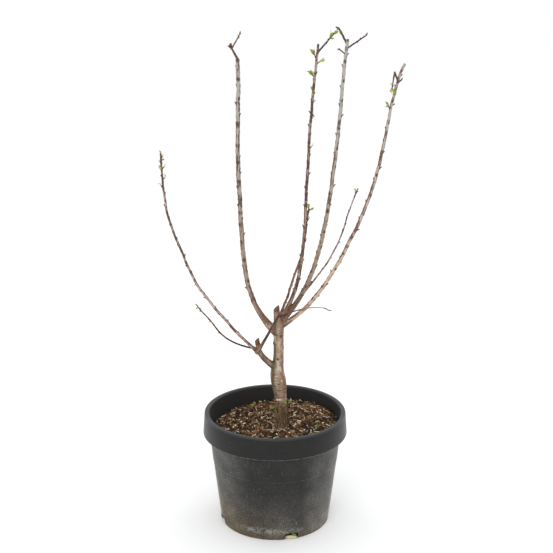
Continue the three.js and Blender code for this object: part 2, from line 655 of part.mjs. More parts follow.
// A limb's foot is cut to fit the wood that it grows from, with a fine gap all round
const clearances = { trunk: trunkSolid(GAP) };
for (const [name, { from, bark }] of Object.entries(LIMBS)) {
  const fitted = ['trunk', ...from].reduce(
    (wood, neighbour) => wood.subtract(clearances[neighbour]),
    limbWood(name),
  );
  clearances[name] = limbWood(name, GAP);
  plant.add(meshOf(name, fitted, bark));
}
for (const [name, crown] of Object.entries(CROWNS)) {
  plant.add(meshOf(name, crownSolid(crown), LIMBS[crown.limb].bark));
}

export default plant;
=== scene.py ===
# Potted dwarf plum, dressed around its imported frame. Metres, +Z up, seen from -Y. The tables
# of the plant's own sizes are in millimetres, and mm turns them to metres where they are used.
import json
import math
from functools import partial

import bpy
from mathutils import Matrix, Vector, noise

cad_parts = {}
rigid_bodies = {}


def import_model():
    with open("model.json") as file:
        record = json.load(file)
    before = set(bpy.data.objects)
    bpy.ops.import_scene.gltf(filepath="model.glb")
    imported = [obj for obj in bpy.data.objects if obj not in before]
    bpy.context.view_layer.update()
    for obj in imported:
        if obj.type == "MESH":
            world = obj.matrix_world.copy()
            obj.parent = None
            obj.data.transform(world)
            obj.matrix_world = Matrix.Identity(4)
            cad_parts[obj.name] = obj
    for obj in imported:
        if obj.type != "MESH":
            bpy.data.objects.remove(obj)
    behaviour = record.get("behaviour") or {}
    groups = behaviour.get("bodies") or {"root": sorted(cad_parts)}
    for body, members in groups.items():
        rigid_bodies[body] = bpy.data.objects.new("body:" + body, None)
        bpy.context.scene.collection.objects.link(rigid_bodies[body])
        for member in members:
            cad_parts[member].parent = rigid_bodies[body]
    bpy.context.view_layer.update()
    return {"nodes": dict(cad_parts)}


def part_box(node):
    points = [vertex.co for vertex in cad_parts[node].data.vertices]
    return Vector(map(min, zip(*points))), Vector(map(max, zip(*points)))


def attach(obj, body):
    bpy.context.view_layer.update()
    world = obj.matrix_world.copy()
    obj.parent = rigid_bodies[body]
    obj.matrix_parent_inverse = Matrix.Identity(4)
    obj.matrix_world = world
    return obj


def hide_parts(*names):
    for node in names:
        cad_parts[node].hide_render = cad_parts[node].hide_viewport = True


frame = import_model()


# Studio
# A plain pale floor that runs out of sight, a bright even surround and three large soft
# lights: one high in front for the bark, and one at each side that greys the pot's flanks.
mm = 0.001
camera_place = (0, -2.2869, 1.2101)
camera_tilt = math.radians(72.925)
focal_length = 80.886
frame_shift = 0.00266
lights_aim = Vector((0, 0, 0.45))
softboxes = {
    # place, width and height in metres, and watts
    "front_softbox": ((-0.7, -2.6, 2.3), 1.6, 1.2, 19),
    "left_softbox": ((-1.7, 1.4, 0.9), 1.0, 1.8, 7),
    "right_softbox": ((1.7, 1.5, 0.9), 1.0, 1.8, 9),
}


def linear(colour):
    """An sRGB colour such as "#33342f" as the linear values that a colour socket holds."""
    shares = [int(colour[place:place + 2], 16) / 255 for place in (1, 3, 5)]
    return [c / 12.92 if c <= 0.04045 else ((c + 0.055) / 1.055) ** 2.4 for c in shares] + [1]


def add_node(tree, family, kind, inputs=(), output=None, **settings):
    """Adds a node with its settings and inputs, and returns one of its outputs. The inputs are
    given by name, or in the order of those that its settings leave in use. Each is a value, a
    colour such as "#33342f" or another node's output."""
    made = tree.nodes.new(family + kind)
    for name, value in settings.items():
        setattr(made, name, value)
    sockets = {socket.identifier: socket for socket in made.inputs if socket.enabled}
    given = inputs if isinstance(inputs, dict) else dict(zip(sockets, inputs))
    for name, value in given.items():
        if isinstance(value, bpy.types.NodeSocket):
            tree.links.new(value, sockets[name])
        else:
            sockets[name].default_value = linear(value) if isinstance(value, str) else value
    results = {socket.name: socket for socket in made.outputs if socket.enabled}
    return results[output] if output else next(iter(results.values()), None)


def new_material(name):
    """An empty material, and what adds a node to it."""
    material = bpy.data.materials.new(name)
    material.use_nodes = True
    material.node_tree.nodes.clear()
    return material, partial(add_node, material.node_tree, "ShaderNode")


def background_paper():
    # Seamless paper: dead matt, so that it gives the eye nothing but a soft shadow
    material, add = new_material("white_background_paper")
    paper = add("BsdfPrincipled", {
        "Base Color": "#f9f9f7", "Roughness": 0.95, "Specular IOR Level": 0.1,
    })
    add("OutputMaterial", [paper])
    return material


bpy.ops.object.camera_add(location=camera_place, rotation=(camera_tilt, 0, 0))
camera = bpy.context.object
camera.data.lens = focal_length
camera.data.shift_x = frame_shift
bpy.context.scene.camera = camera
bpy.context.scene.view_settings.view_transform = "Standard"

surround = bpy.data.worlds.new("bright_surround")
surround.use_nodes = True
surround.node_tree.nodes["Background"].inputs["Color"].default_value = linear("#fbfcff")
surround.node_tree.nodes["Background"].inputs["Strength"].default_value = 1.1
bpy.context.scene.world = surround

for name, (place, width, height, watts) in softboxes.items():
    bpy.ops.object.light_add(type="AREA", location=place)
    softbox = bpy.context.object
    softbox.name = name
    softbox.data.shape = "RECTANGLE"
    softbox.data.size = width
    softbox.data.size_y = height
    softbox.data.energy = watts
    softbox.rotation_euler = (lights_aim - Vector(place)).to_track_quat("-Z", "Y").to_euler()

bpy.ops.mesh.primitive_plane_add(size=80, location=(0, 0, -0.1 * mm))
floor = bpy.context.object
floor.name = "floor"
floor.data.materials.append(background_paper())


# Pot
# A ten-litre nursery container, injection-moulded in recycled black polypropylene: a tapered
# body, a deep collar folded over its mouth with a rolled rim, and four drainage arches whose
# edges carry a thin raised lip. It is dusty, and scuffed where it stands and is stacked. Its
# flanks, rolled rim and edges are lightened by painted reflections and highlights.
skirt_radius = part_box("pot")[1].x
rim_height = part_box("pot")[1].z
rim_radius = skirt_radius - 2.8 * mm
bore_radius = rim_radius - 9.4 * mm
skirt_foot = 186 * mm
body_top_radius = 130.4 * mm
step_height = 130.5 * mm
step_radius = 124.9 * mm
step_depth = 0.7 * mm
base_radius = 109 * mm
wall = 2.3 * mm
pot_floor = 3 * mm
arch_turns = [math.radians(17.4) + quarter * math.pi / 2 for quarter in range(4)]
arch_width = 29 * mm
arch_height = 13.5 * mm
arch_corner = 8 * mm
cutter_depth = 30 * mm
lip_radius = 0.75 * mm
lip_clear = 0.3 * mm


def select_only(*pieces):
    """Deselects all but these pieces, and makes the first of them active."""
    bpy.ops.object.select_all(action="DESELECT")
    for piece in pieces:
        piece.select_set(True)
    if pieces:
        bpy.context.view_layer.objects.active = pieces[0]


def wall_radius(height):
    """The outside of the pot's body at a height. The mould steps out a little half way up."""
    if height < step_height:
        return base_radius + (step_radius - step_depth - base_radius) * height / step_height
    upper = (height - step_height) / (skirt_foot - step_height)
    return step_radius + (body_top_radius - step_radius) * upper


def arc(centre, radius, first, last, steps):
    """Points on an arc, in degrees, as (radius, height) pairs of a profile."""
    turns = [math.radians(first + (last - first) * i / steps) for i in range(steps + 1)]
    return [(centre[0] + radius * math.cos(a), centre[1] + radius * math.sin(a)) for a in turns]


def pot_profile():
    inner_skirt = skirt_radius - 2.2 * mm
    fold = rim_height - 8 * mm
    lip = 1.1 * mm
    edge = 1.3 * mm
    outer, inner = 3.2 * mm, 3.6 * mm
    return (
        [(0, 0), (base_radius - 9 * mm, 0)]
        + arc((base_radius - edge, edge), edge, -90, 0, 4)
        + [(wall_radius(60 * mm), 60 * mm), (step_radius - step_depth, step_height - 0.6 * mm)]
        + [(step_radius, step_height + 0.2 * mm), (body_top_radius, skirt_foot)]
        + [(bore_radius + wall, fold), (inner_skirt - 2.6 * mm, fold)]
        + arc((skirt_radius - lip, skirt_foot + lip), lip, -180, 0, 6)
        + arc((rim_radius - outer, rim_height - outer), outer, 0, 85, 6)
        + arc((bore_radius + inner, rim_height - inner), inner, 95, 180, 6)
        + [(128.1 * mm, skirt_foot), (base_radius - wall, pot_floor + 3 * mm)]
        + [(base_radius - wall - 3 * mm, pot_floor), (0, pot_floor)]
    )


def spun(profile, steps):
    """One vertex is extruded along a profile from axis to axis, and the profile is spun."""
    select_only()
    bpy.ops.mesh.primitive_plane_add(size=mm)
    bpy.ops.object.mode_set(mode="EDIT")
    bpy.ops.mesh.merge(type="CENTER")
    bpy.ops.transform.translate(value=(profile[0][0], 0, profile[0][1]))
    for (radius, height), (next_radius, next_height) in zip(profile, profile[1:]):
        move = (next_radius - radius, 0, next_height - height)
        bpy.ops.mesh.extrude_region_move(TRANSFORM_OT_translate={"value": move})
    bpy.ops.mesh.select_all(action="SELECT")
    bpy.ops.mesh.spin(steps=steps, angle=math.tau, center=(0, 0, 0), axis=(0, 0, 1))
    bpy.ops.mesh.select_all(action="SELECT")
    bpy.ops.mesh.remove_doubles(threshold=0.01 * mm)
    bpy.ops.mesh.normals_make_consistent(inside=False)
    bpy.ops.object.mode_set(mode="OBJECT")
    return bpy.context.object


def apply_modifier(piece, kind, **settings):
    bpy.context.view_layer.objects.active = piece
    bpy.ops.object.modifier_add(type=kind)
    modifier = piece.modifiers[-1]
    for name, value in settings.items():
        setattr(modifier, name, value)
    bpy.ops.object.modifier_apply(modifier=modifier.name)


def joined(pieces, name):
    select_only(*pieces)
    if len(pieces) > 1:
        bpy.ops.object.join()
    pieces[0].name = name
    return pieces[0]


def coat(piece, *materials):
    piece.data.materials.clear()
    for material in materials:
        piece.data.materials.append(material)


def arch_cutter(turn):
    select_only()
    bpy.ops.mesh.primitive_cube_add(size=1)
    cutter = bpy.context.object
    cutter.scale = (arch_width, cutter_depth, 2 * arch_height)
    bpy.ops.object.transform_apply(scale=True)
    bpy.ops.object.mode_set(mode="EDIT")
    bpy.ops.mesh.select_mode(type="EDGE")
    bpy.ops.object.mode_set(mode="OBJECT")
    for face in cutter.data.polygons:
        face.select = False
    for edge in cutter.data.edges:
        ends = [cutter.data.vertices[i].co for i in edge.vertices]
        edge.select = all(end.z > 0 for end in ends) and abs(ends[0].x - ends[1].x) < mm
    bpy.ops.object.mode_set(mode="EDIT")
    bpy.ops.mesh.bevel(offset=arch_corner, segments=6)
    bpy.ops.object.mode_set(mode="OBJECT")
    cutter.data.transform(Matrix.Rotation(turn, 4, "Z") @ Matrix.Translation((0, -base_radius, 0)))
    return cutter


def rod(path, radius, sides, rings, guide=(0, 1, 0), first=0, last=1):
    """A grid is rolled into a tube round a path, and its ends are closed. The path and the
    radius take a share from first to last; the radius takes a turn round the rod as well. The
    attribute "grain" holds each point's place in the rod as if it were straight."""
    select_only()
    bpy.ops.mesh.primitive_grid_add(x_subdivisions=sides, y_subdivisions=rings, size=1)
    made = bpy.context.object
    nudge = 1e-3
    ends = [first + (last - first) * i / rings for i in range(rings + 1)]
    frames, run = [], 0
    for number, share in enumerate(ends):
        point = path(share)
        run += (point - path(ends[number - 1])).length if number else 0
        along = (path(share + nudge) - path(share - nudge)).normalized()
        side = along.cross(Vector(guide)).normalized()
        frames.append((point, side, side.cross(along), run))
    grain = made.data.attributes.new("grain", "FLOAT_VECTOR", "POINT")
    for vertex in made.data.vertices:
        number = round((vertex.co.y + 0.5) * rings)
        turn = (vertex.co.x + 0.5) * math.tau
        point, side, across, run = frames[number]
        out = radius(ends[number], turn)
        vertex.co = point + (side * math.cos(turn) + across * math.sin(turn)) * out
        grain.data[vertex.index].vector = (out * math.cos(turn), out * math.sin(turn), run)
    bpy.ops.object.mode_set(mode="EDIT")
    bpy.ops.mesh.select_all(action="SELECT")
    bpy.ops.mesh.remove_doubles(threshold=0.002 * mm)
    bpy.ops.mesh.fill_holes(sides=0)
    bpy.ops.mesh.select_all(action="SELECT")
    bpy.ops.mesh.normals_make_consistent(inside=False)
    bpy.ops.object.mode_set(mode="OBJECT")
    bpy.ops.object.shade_smooth_by_angle(angle=math.radians(50))
    return made


def arch_lip(turn):
    """The raised edge of an arch: a squared oval from foot to foot, laid on the pot's wall."""
    def path(share):
        across, up = math.cos(math.pi * share), abs(math.sin(math.pi * share))
        reach = math.copysign(arch_width / 2 + lip_clear, across) * abs(across) ** 0.5
        height = (arch_height + lip_clear) * up ** 0.5 + 0.8 * mm
        out = wall_radius(height)
        round_pot = turn + reach / out
        return Vector((out * math.sin(round_pot), -out * math.cos(round_pot), height))

    out_of_wall = (math.sin(turn), -math.cos(turn), 0)
    return rod(path, lambda share, turn: lip_radius, 8, 40, out_of_wall, 0.01, 0.99)


def pot_plastic():
    # Recycled polypropylene from a fine-sparked mould: a near-black satin skin, greyed by a
    # film of dust, with chalky tide marks low in front and dried soil round its foot. Painted
    # reflections grey its flanks further, and painted highlights line its rim and edges.
    material, add = new_material("moulded_black_polypropylene")
    place = add("TexCoord", output="Object")
    right, height = [add("SeparateXYZ", [place], axis) for axis in "XZ"]
    clouds = add("TexNoise", [place, 30, 6])
    grit = add("TexNoise", [place, 520, 3])
    blots = add("TexNoise", [place, 130, 5])
    strands = add("TexNoise", {"Vector": place, "Scale": 65, "Detail": 4, "Distortion": 2.5})
    under_collar = skirt_foot - 3 * mm

    # Dust: hardly any on the collar, a film on the body and more near the ground. The body is also
    # lightened towards its left and right flanks, a painted reflection of the bright surround laid in
    # with the dust.
    # Each range is what it reads, where it begins and ends, and its values there.
    on_body = add("MapRange", [height, skirt_foot, under_collar])
    film = add("MapRange", [height, skirt_foot, under_collar, 0.01, 0.035])
    near_ground = add("MapRange", [height, 105 * mm, 10 * mm, 0, 0.24])
    # Painted reflection: the body grows lighter towards its left and right flanks, seen from the front
    flank_sheen = add("Math", [right], operation="ABSOLUTE")
    flank_sheen = add("MapRange", [flank_sheen, 50 * mm, 125 * mm, 0, 0.32])
    flank_sheen = add("Math", [flank_sheen, on_body], operation="MULTIPLY")
    uneven = add("MapRange", [clouds, 0.32, 0.68, 0.6, 1.4])
    speckled = add("MapRange", [grit, 0.35, 0.68, 0.45, 1.7])
    dust_and_flank_sheen = add("Math", [film, near_ground])
    dust_and_flank_sheen = add("Math", [dust_and_flank_sheen, flank_sheen])
    dust_and_flank_sheen = add("Math", [dust_and_flank_sheen, uneven], operation="MULTIPLY")
    dust_and_flank_sheen = add("Math", [dust_and_flank_sheen, speckled], operation="MULTIPLY", use_clamp=True)
    in_bore = add("Mapping", {"Vector": place, "Scale": (1, 1, 0)})
    in_bore = add("VectorMath", [in_bore], operation="LENGTH")
    in_bore = add("MapRange", [in_bore, bore_radius + 0.8 * mm, bore_radius, 0, 0.05])
    above_mix = add("MapRange", [height, skirt_foot - 8 * mm, skirt_foot])
    in_bore = add("Math", [in_bore, above_mix], operation="MULTIPLY")
    dust_and_flank_sheen = add("Math", [dust_and_flank_sheen, in_bore])
    earthy = add("MapRange", [right, 70 * mm, -70 * mm, 0.6, 5])
    earthy = add("Math", [near_ground, earthy], operation="MULTIPLY", use_clamp=True)
    dust_colour = add("Mix", [earthy, "#8d8b86", "#94866e"], data_type="RGBA")
    colour = add("Mix", [dust_and_flank_sheen, "#161615", dust_colour], data_type="RGBA")

    # White flecks of lime under the collar, closer together on the left flank
    below = add("MapRange", [height, skirt_foot, under_collar, 0, 0.05])
    closer = add("MapRange", [right, -20 * mm, -110 * mm, 0, 0.035])
    below = add("Math", [below, closer])
    flecks = add("Math", [grit, below])
    flecks = add("MapRange", [flecks, 0.73, 0.78, 0, 0.55])

    # Dried soil in the last two centimetres, and a chalky tide mark a hand wide low in front
    soil = add("MapRange", [height, 40 * mm, 1 * mm, -0.1, 0.2])
    soil = add("Math", [blots, soil])
    soil = add("MapRange", [soil, 0.66, 0.76, 0, 0.7])
    tide = add("Mapping", {"Vector": place, "Location": (0.18, 0, -2.1), "Scale": (14, 0, 110)})
    tide = add("VectorMath", [tide], operation="LENGTH")
    tide = add("MapRange", [tide, 1.1, 0.5])
    ridge = add("Math", [strands, 0.52, 0.045], operation="COMPARE")
    tide = add("Math", [tide, ridge], operation="MULTIPLY")
    tide = add("Math", [tide, 0.4], operation="MULTIPLY")

    # The collar's lip and the step carry pale marks, here and there scuffs and along their edges a
    # painted highlight, and the rolled rim is lightened grey all round as a painted highlight
    lip_band = add("Math", [height, skirt_foot + 0.2 * mm, 0.9 * mm], operation="COMPARE")
    # Painted highlight: a thin pale line along the step's edge, and along the collar's lip with the
    # scuffs
    step_highlight = add("Math", [height, step_height, 0.6 * mm], operation="COMPARE")
    edges = add("Math", [step_highlight, 0.25, lip_band], operation="MULTIPLY_ADD")
    scuffs_and_highlights = add("MapRange", [strands, 0.4, 0.58, 0.06, 0.4])
    scuffs_and_highlights = add("Math", [scuffs_and_highlights, edges], operation="MULTIPLY")
    # Painted highlight: the top of the rolled rim is lightened bluish grey all round
    rim_highlight = add("MapRange", [height, rim_height - 4.5 * mm, rim_height - 0.5 * mm, 0, 0.1])
    for share, tone in (
        (flecks, "#a5a59f"), (soil, "#5f4a33"), (tide, "#b4b6b2"), (scuffs_and_highlights, "#b1b2ad"),
        (rim_highlight, "#8d9095"),
    ):
        colour = add("Mix", [share, colour, tone], data_type="RGBA")

    roughness = add("MapRange", [dust_and_flank_sheen, 0, 0.3, 0.42, 0.65])
    bloom = add("MapRange", [on_body, 0, 1, 0.3, 0.85])
    grain = add("TexNoise", [place, 1500, 2])
    relief = add("Bump", {"Strength": 0.12, "Distance": 0.2 * mm, "Height": grain})
    plastic = add("BsdfPrincipled", {
        "Base Color": colour, "Roughness": roughness, "Normal": relief, "IOR": 1.49,
        "Specular IOR Level": 0.24, "Sheen Weight": bloom, "Sheen Roughness": 0.18,
        "Sheen Tint": "#dcdad4",
    })
    add("OutputMaterial", [plastic])
    return material


pot = spun(pot_profile(), 192)
cutters = joined([arch_cutter(turn) for turn in arch_turns], "arch_cutters")
apply_modifier(pot, "BOOLEAN", object=cutters, operation="DIFFERENCE", solver="EXACT")
bpy.data.objects.remove(cutters)
pot = joined([pot, *[arch_lip(turn) for turn in arch_turns]], "nursery_pot")
bpy.ops.object.shade_smooth_by_angle(angle=math.radians(32))
coat(pot, pot_plastic())
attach(pot, "root")
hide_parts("pot")


# Potting mix
# Composted bark in the pot, one soft dark body that fills it to a few centimetres under the
# rim. It is the frame's own filling, remeshed and roughened, and the loose chips lie on it.
chip_floor = 178 * mm
trunk_foot = Vector((11.9, -14, 200)) * mm
trunk_clear = 12.5 * mm
bed_voxel = 2.4 * mm
crumb_size, crumb_depth = 7 * mm, 1.7 * mm


def mesh_copy(name, mesh):
    """A new object with its own copy of a mesh."""
    made = bpy.data.objects.new(name, mesh.copy())
    bpy.context.scene.collection.objects.link(made)
    return made


def lumps(name, size):
    texture = bpy.data.textures.new(name, "CLOUDS")
    texture.noise_scale = size
    return texture


def composted_bark(name, dark, light, scale):
    # Weathered conifer bark: matt and fibrous, mottled lighter in patches along its fibres
    material, add = new_material(name)
    place = add("TexCoord", output="Object")
    patches = add("TexNoise", [place, scale, 5])
    fibres = add("TexNoise", {"Vector": place, "Scale": scale * 3.5, "Detail": 3, "Distortion": 1.5})
    mixed = add("Math", [patches, fibres], operation="MULTIPLY")
    mixed = add("MapRange", [mixed, 0.14, 0.4])
    colour = add("Mix", [mixed, dark, light], data_type="RGBA")
    relief = add("Bump", {"Strength": 0.5, "Distance": 0.5 * mm, "Height": fibres})
    bark = add("BsdfPrincipled", {
        "Base Color": colour, "Roughness": 0.9, "Specular IOR Level": 0.3, "Normal": relief,
    })
    add("OutputMaterial", [bark])
    return material


bed = mesh_copy("potting_mix_body", frame["nodes"]["potting_mix"].data)
select_only(bed)
bpy.ops.object.mode_set(mode="EDIT")
bpy.ops.mesh.select_all(action="SELECT")
bpy.ops.mesh.remove_doubles(threshold=0.01 * mm)
bpy.ops.object.mode_set(mode="OBJECT")
apply_modifier(bed, "REMESH", mode="VOXEL", voxel_size=bed_voxel)
apply_modifier(bed, "DISPLACE", texture=lumps("crumbs", crumb_size), strength=crumb_depth)
bpy.ops.object.shade_smooth_by_angle(angle=math.radians(60))
# Near-black: partly the damp bark's own colour, partly a painted shade in the gaps between the chips
coat(bed, composted_bark("damp_composted_bark", "#0a0705", "#241811", 160))
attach(bed, "root")
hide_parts("potting_mix")


# Bark chips
# Loose screenings of bark and wood, 4 to 35 mm long, that lie every way on the mix: flat
# flakes, square crumbs, straight splinters and a few long shreds. Models of each shape are
# scattered over its top, once for each colour that the mulch holds.
chip_shapes = {
    # length, width and depth of each model, and how far from the pot's wall they lie
    "crumbs": ([(17, 1.6, 1.2), (9, 3.6, 1.4), (6, 3.4, 2.2), (13, 2.3, 1.3), (21, 1.1, 1),
                (12, 1.4, 1)], 8.5),
    "shreds": ([(36, 4.6, 1.8), (27, 2.6, 1.4), (31, 3.4, 1.6)], 15),
}
chip_kinds = {
    # chips on a square centimetre of the surface, dark and light bark, seed and shapes
    "dark_bark_chips": (2.5, "#1b120b", "#46301e", 3, "crumbs"),
    "brown_bark_chips": (1.7, "#47301d", "#7a5837", 5, "crumbs"),
    "tan_wood_chips": (1.05, "#8a6c48", "#c5a77b", 8, "crumbs"),
    "pale_wood_chips": (0.5, "#ccb68f", "#fff0cf", 13, "crumbs"),
    "red_bark_chips": (0.45, "#4c2816", "#8a4f29", 21, "crumbs"),
    "bark_shreds": (0.07, "#422a1e", "#75503a", 34, "shreds"),
}


def chip_models(name, sizes):
    """Each shape is a cube, flattened, cut finer, pinched a little at its ends and roughened."""
    shapes = bpy.data.collections.new(name)
    for number, (length, width, depth) in enumerate(sizes):
        select_only()
        bpy.ops.mesh.primitive_cube_add(size=1)
        chip = bpy.context.object
        bpy.ops.object.mode_set(mode="EDIT")
        bpy.ops.mesh.select_all(action="SELECT")
        bpy.ops.mesh.subdivide(number_cuts=1)
        bpy.ops.transform.resize(value=(length * mm, width * mm, depth * mm))
        bpy.ops.transform.vertex_random(offset=depth * 0.3 * mm, seed=number + 1)
        bpy.ops.object.mode_set(mode="OBJECT")
        half = length * mm / 2
        for vertex in chip.data.vertices:
            end = vertex.co.x / half
            vertex.co.y *= 1 - 0.3 * abs(end) ** 3 - 0.12 * end
        bpy.context.scene.collection.objects.unlink(chip)
        shapes.objects.link(chip)
    return shapes


def scattered(surface, name, shapes, material, share, seed):
    """Chips on a copy of the surface: points dealt by seed, a chip on each, then made real."""
    piece = mesh_copy(name, surface.data)
    tree = bpy.data.node_groups.new(name, "GeometryNodeTree")
    for way in ("INPUT", "OUTPUT"):
        tree.interface.new_socket("Geometry", in_out=way, socket_type="NodeSocketGeometry")
    points = add_node(tree, "GeometryNode", "DistributePointsOnFaces", {
        "Mesh": add_node(tree, "Node", "GroupInput"), "Density": share * 1e4, "Seed": seed,
    }).node.outputs
    chips = add_node(tree, "GeometryNode", "CollectionInfo", {
        "Collection": shapes, "Separate Children": True, "Reset Children": True,
    })
    tumble = add_node(tree, "FunctionNode", "RandomValue", {
        "Min": (-0.4, -0.36, 0), "Max": (0.4, 0.36, math.tau), "Seed": seed + 1,
    }, data_type="FLOAT_VECTOR")
    turned = add_node(tree, "FunctionNode", "RotateRotation", {
        "Rotation": points["Rotation"], "Rotate By": tumble,
    }, rotation_space="LOCAL")
    sizes = add_node(tree, "FunctionNode", "RandomValue", {
        "Min": (0.45, 0.55, 0.7), "Max": (1.2, 1.25, 1.3), "Seed": seed + 2,
    }, data_type="FLOAT_VECTOR")
    which = add_node(tree, "FunctionNode", "RandomValue", {
        "Min_002": 0, "Max_002": len(shapes.objects) - 1, "Seed": seed + 3,
    }, data_type="INT")
    laid = add_node(tree, "GeometryNode", "InstanceOnPoints", {
        "Points": points["Points"], "Instance": chips, "Pick Instance": True,
        "Instance Index": which, "Rotation": turned, "Scale": sizes,
    })
    real = add_node(tree, "GeometryNode", "RealizeInstances", [laid])
    coloured = add_node(tree, "GeometryNode", "SetMaterial", {"Geometry": real, "Material": material})
    add_node(tree, "Node", "GroupOutput", [coloured])
    select_only(piece)
    apply_modifier(piece, "NODES", node_group=tree)
    return piece


def mulch_surface(reach):
    """The top of the mix alone: what faces up, inside the wall and clear of the trunk."""
    top = mesh_copy("mulch_surface", bed.data)
    select_only(top)
    bpy.ops.object.mode_set(mode="EDIT")
    bpy.ops.mesh.select_mode(type="FACE")
    bpy.ops.mesh.select_all(action="DESELECT")
    bpy.ops.object.mode_set(mode="OBJECT")
    for face in top.data.polygons:
        keep = face.center.z > chip_floor and face.normal.z > 0.3
        keep = keep and face.center.xy.length < reach
        face.select = not (keep and (face.center.xy - trunk_foot.xy).length > trunk_clear)
    bpy.ops.object.mode_set(mode="EDIT")
    bpy.ops.mesh.delete(type="FACE")
    bpy.ops.object.mode_set(mode="OBJECT")
    return top


for name, (share, dark, light, seed, shapes_name) in chip_kinds.items():
    sizes, from_wall = chip_shapes[shapes_name]
    surface = mulch_surface(bore_radius - from_wall * mm)
    shapes = chip_models(shapes_name, sizes)
    bark = composted_bark(name + "_bark", dark, light, 260)
    chips = scattered(surface, name, shapes, bark, share, seed)
    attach(chips, "root")
    bpy.data.objects.remove(surface)
    for chip in list(shapes.objects):
        bpy.data.objects.remove(chip)


# Seedlings and litter
# What else lies on the mix and clings to the pot: seedlings of a weed, root fibres round the
# trunk's foot, a red sliver of bark, straws on the wall, and a mossy clod in the front arch.
seedlings = [(32, 96), (32, 64), (-3, 68), (-47, 90), (-60, 24), (86, -26)]
root_fibres = [
    # the places on the mix that each runs through, with their lifts, and its two thicknesses
    ([(-18, -29, 0.6), (-8, -31, 1.2), (3, -33, 1.4), (11, -35, 0.8)], 1.3, 0.7),
    ([(-9, -34, 0.4), (2, -36, 1), (14, -31, 1.6), (24, -36, 0.5)], 1, 0.5),
    ([(8, -27, 1), (14, -31, 2.6), (19, -37, 0.8)], 0.9, 0.5),
]
red_sliver = [([(21, -40, 2.2), (26, -56, 1.8), (30, -68, 0.6)], 1.4, 0.7)]
straws = [
    # the same, each place on the pot's wall by its turn in degrees and its height
    ([(40, 28.5), (41.5, 16), (42, 3)], 0.55, 0.4),
    ([(21, 39.5), (21.4, 35), (21.2, 31)], 0.6, 0.4),
]


def on_mix(x, y, lift):
    """The place on top of the mix over a point, in millimetres, raised by a lift."""
    hit, place, _, _ = bed.ray_cast(Vector((x * mm, y * mm, 0.3)), Vector((0, 0, -1)))
    return place + Vector((0, 0, lift * mm)) if hit else Vector((x, y, 200)) * mm


def on_wall(turn, height):
    out = wall_radius(height * mm) + 0.3 * mm
    turned = math.radians(turn)
    return Vector((out * math.sin(turned), -out * math.cos(turned), height * mm))


def fibre(places, thick, thin):
    """A fine rod through a few places, with a smooth bend at each."""
    def path(share):
        along = min(max(share, 0), 1) * (len(places) - 1)
        number = min(int(along), len(places) - 2)
        part = along - number
        before, after = places[max(number - 1, 0)], places[min(number + 2, len(places) - 1)]
        here, there = places[number], places[number + 1]
        return 0.5 * (2 * here + (there - before) * part
                      + (2 * before - 5 * here + 4 * there - after) * part ** 2
                      + (3 * here - before - 3 * there + after) * part ** 3)
    return rod(path, lambda share, turn: (thick + (thin - thick) * share) * mm, 6,
               5 * len(places), (0.1, 0.2, 1), 0.01, 0.99)


def seedling(x, y, turn):
    """Two flat seed leaves on a short stalk."""
    foot = on_mix(x, y, -1)
    head = foot + Vector((0, 0, 5.5)) * mm
    parts = [fibre([foot, foot + Vector((0.4, 0, 2.6)) * mm, head], 0.5, 0.4)]
    for side in (turn, turn + 180):
        way = Vector((math.cos(math.radians(side)), math.sin(math.radians(side)), 0.35))
        select_only()
        bpy.ops.mesh.primitive_uv_sphere_add(segments=10, ring_count=6, radius=2.6 * mm)
        leaf = bpy.context.object
        leaf.data.transform(Matrix.Diagonal((0.62, 0.16, 1, 1)))
        turned = way.to_track_quat("Z", "X").to_matrix().to_4x4()
        leaf.data.transform(Matrix.Translation(head + way.normalized() * 2.2 * mm) @ turned)
        parts.append(leaf)
    return parts


def lump(place, sizes, roughness):
    select_only()
    bpy.ops.mesh.primitive_ico_sphere_add(subdivisions=4, radius=mm)
    made = bpy.context.object
    made.data.transform(Matrix.Translation(Vector(place) * mm) @ Matrix.Diagonal((*sizes, 1)))
    apply_modifier(made, "DISPLACE", texture=lumps("clod_lumps", 3 * mm), strength=roughness * mm)
    return made


def plain_matter(name, colour):
    # Dull plant matter or soil, mottled by its own unevenness
    material, add = new_material(name)
    place = add("TexCoord", output="Object")
    mottle = add("TexNoise", [place, 400, 3])
    tone = add("MapRange", [mottle, 0, 1, 0.6, 1.4])
    shade = add("HueSaturation", {"Color": colour, "Value": tone})
    matter = add("BsdfPrincipled", {
        "Base Color": shade, "Roughness": 0.75, "Specular IOR Level": 0.3,
    })
    add("OutputMaterial", [matter])
    return material


# Blender brings the bed up to date, so that rays find its new top
bpy.context.view_layer.update()
litter = {
    # the colour and the parts of each
    "seedlings": ("#6f9a3c", [part for number, (x, y) in enumerate(seedlings)
                              for part in seedling(x, y, 20 + 65 * number)]),
    "root_fibres": ("#a3907c", [fibre([on_mix(*place) for place in places], *thicknesses)
                                for places, *thicknesses in root_fibres]),
    "red_sliver": ("#7c3a20", [fibre([on_mix(*place) for place in places], *thicknesses)
                               for places, *thicknesses in red_sliver]),
    "straws": ("#a08258", [fibre([on_wall(*place) for place in places], *thicknesses)
                           for places, *thicknesses in straws]),
    "clod": ("#c9bb9b", [lump((31, -103.5, 4.1), (11.5, 3.6, 3.9), 1.4)]),
    "moss": ("#5d7a2a", [lump((36.8, -105.5, 11), (3, 2.2, 2.2), 1.6),
                         lump((40, -104, 9.6), (2, 1.6, 1.6), 1.2)]),
}
for name, (colour, parts) in litter.items():
    piece = joined(parts, name)
    bpy.ops.object.shade_smooth()
    coat(piece, plain_matter("plain_" + name, colour))
    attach(piece, "root")


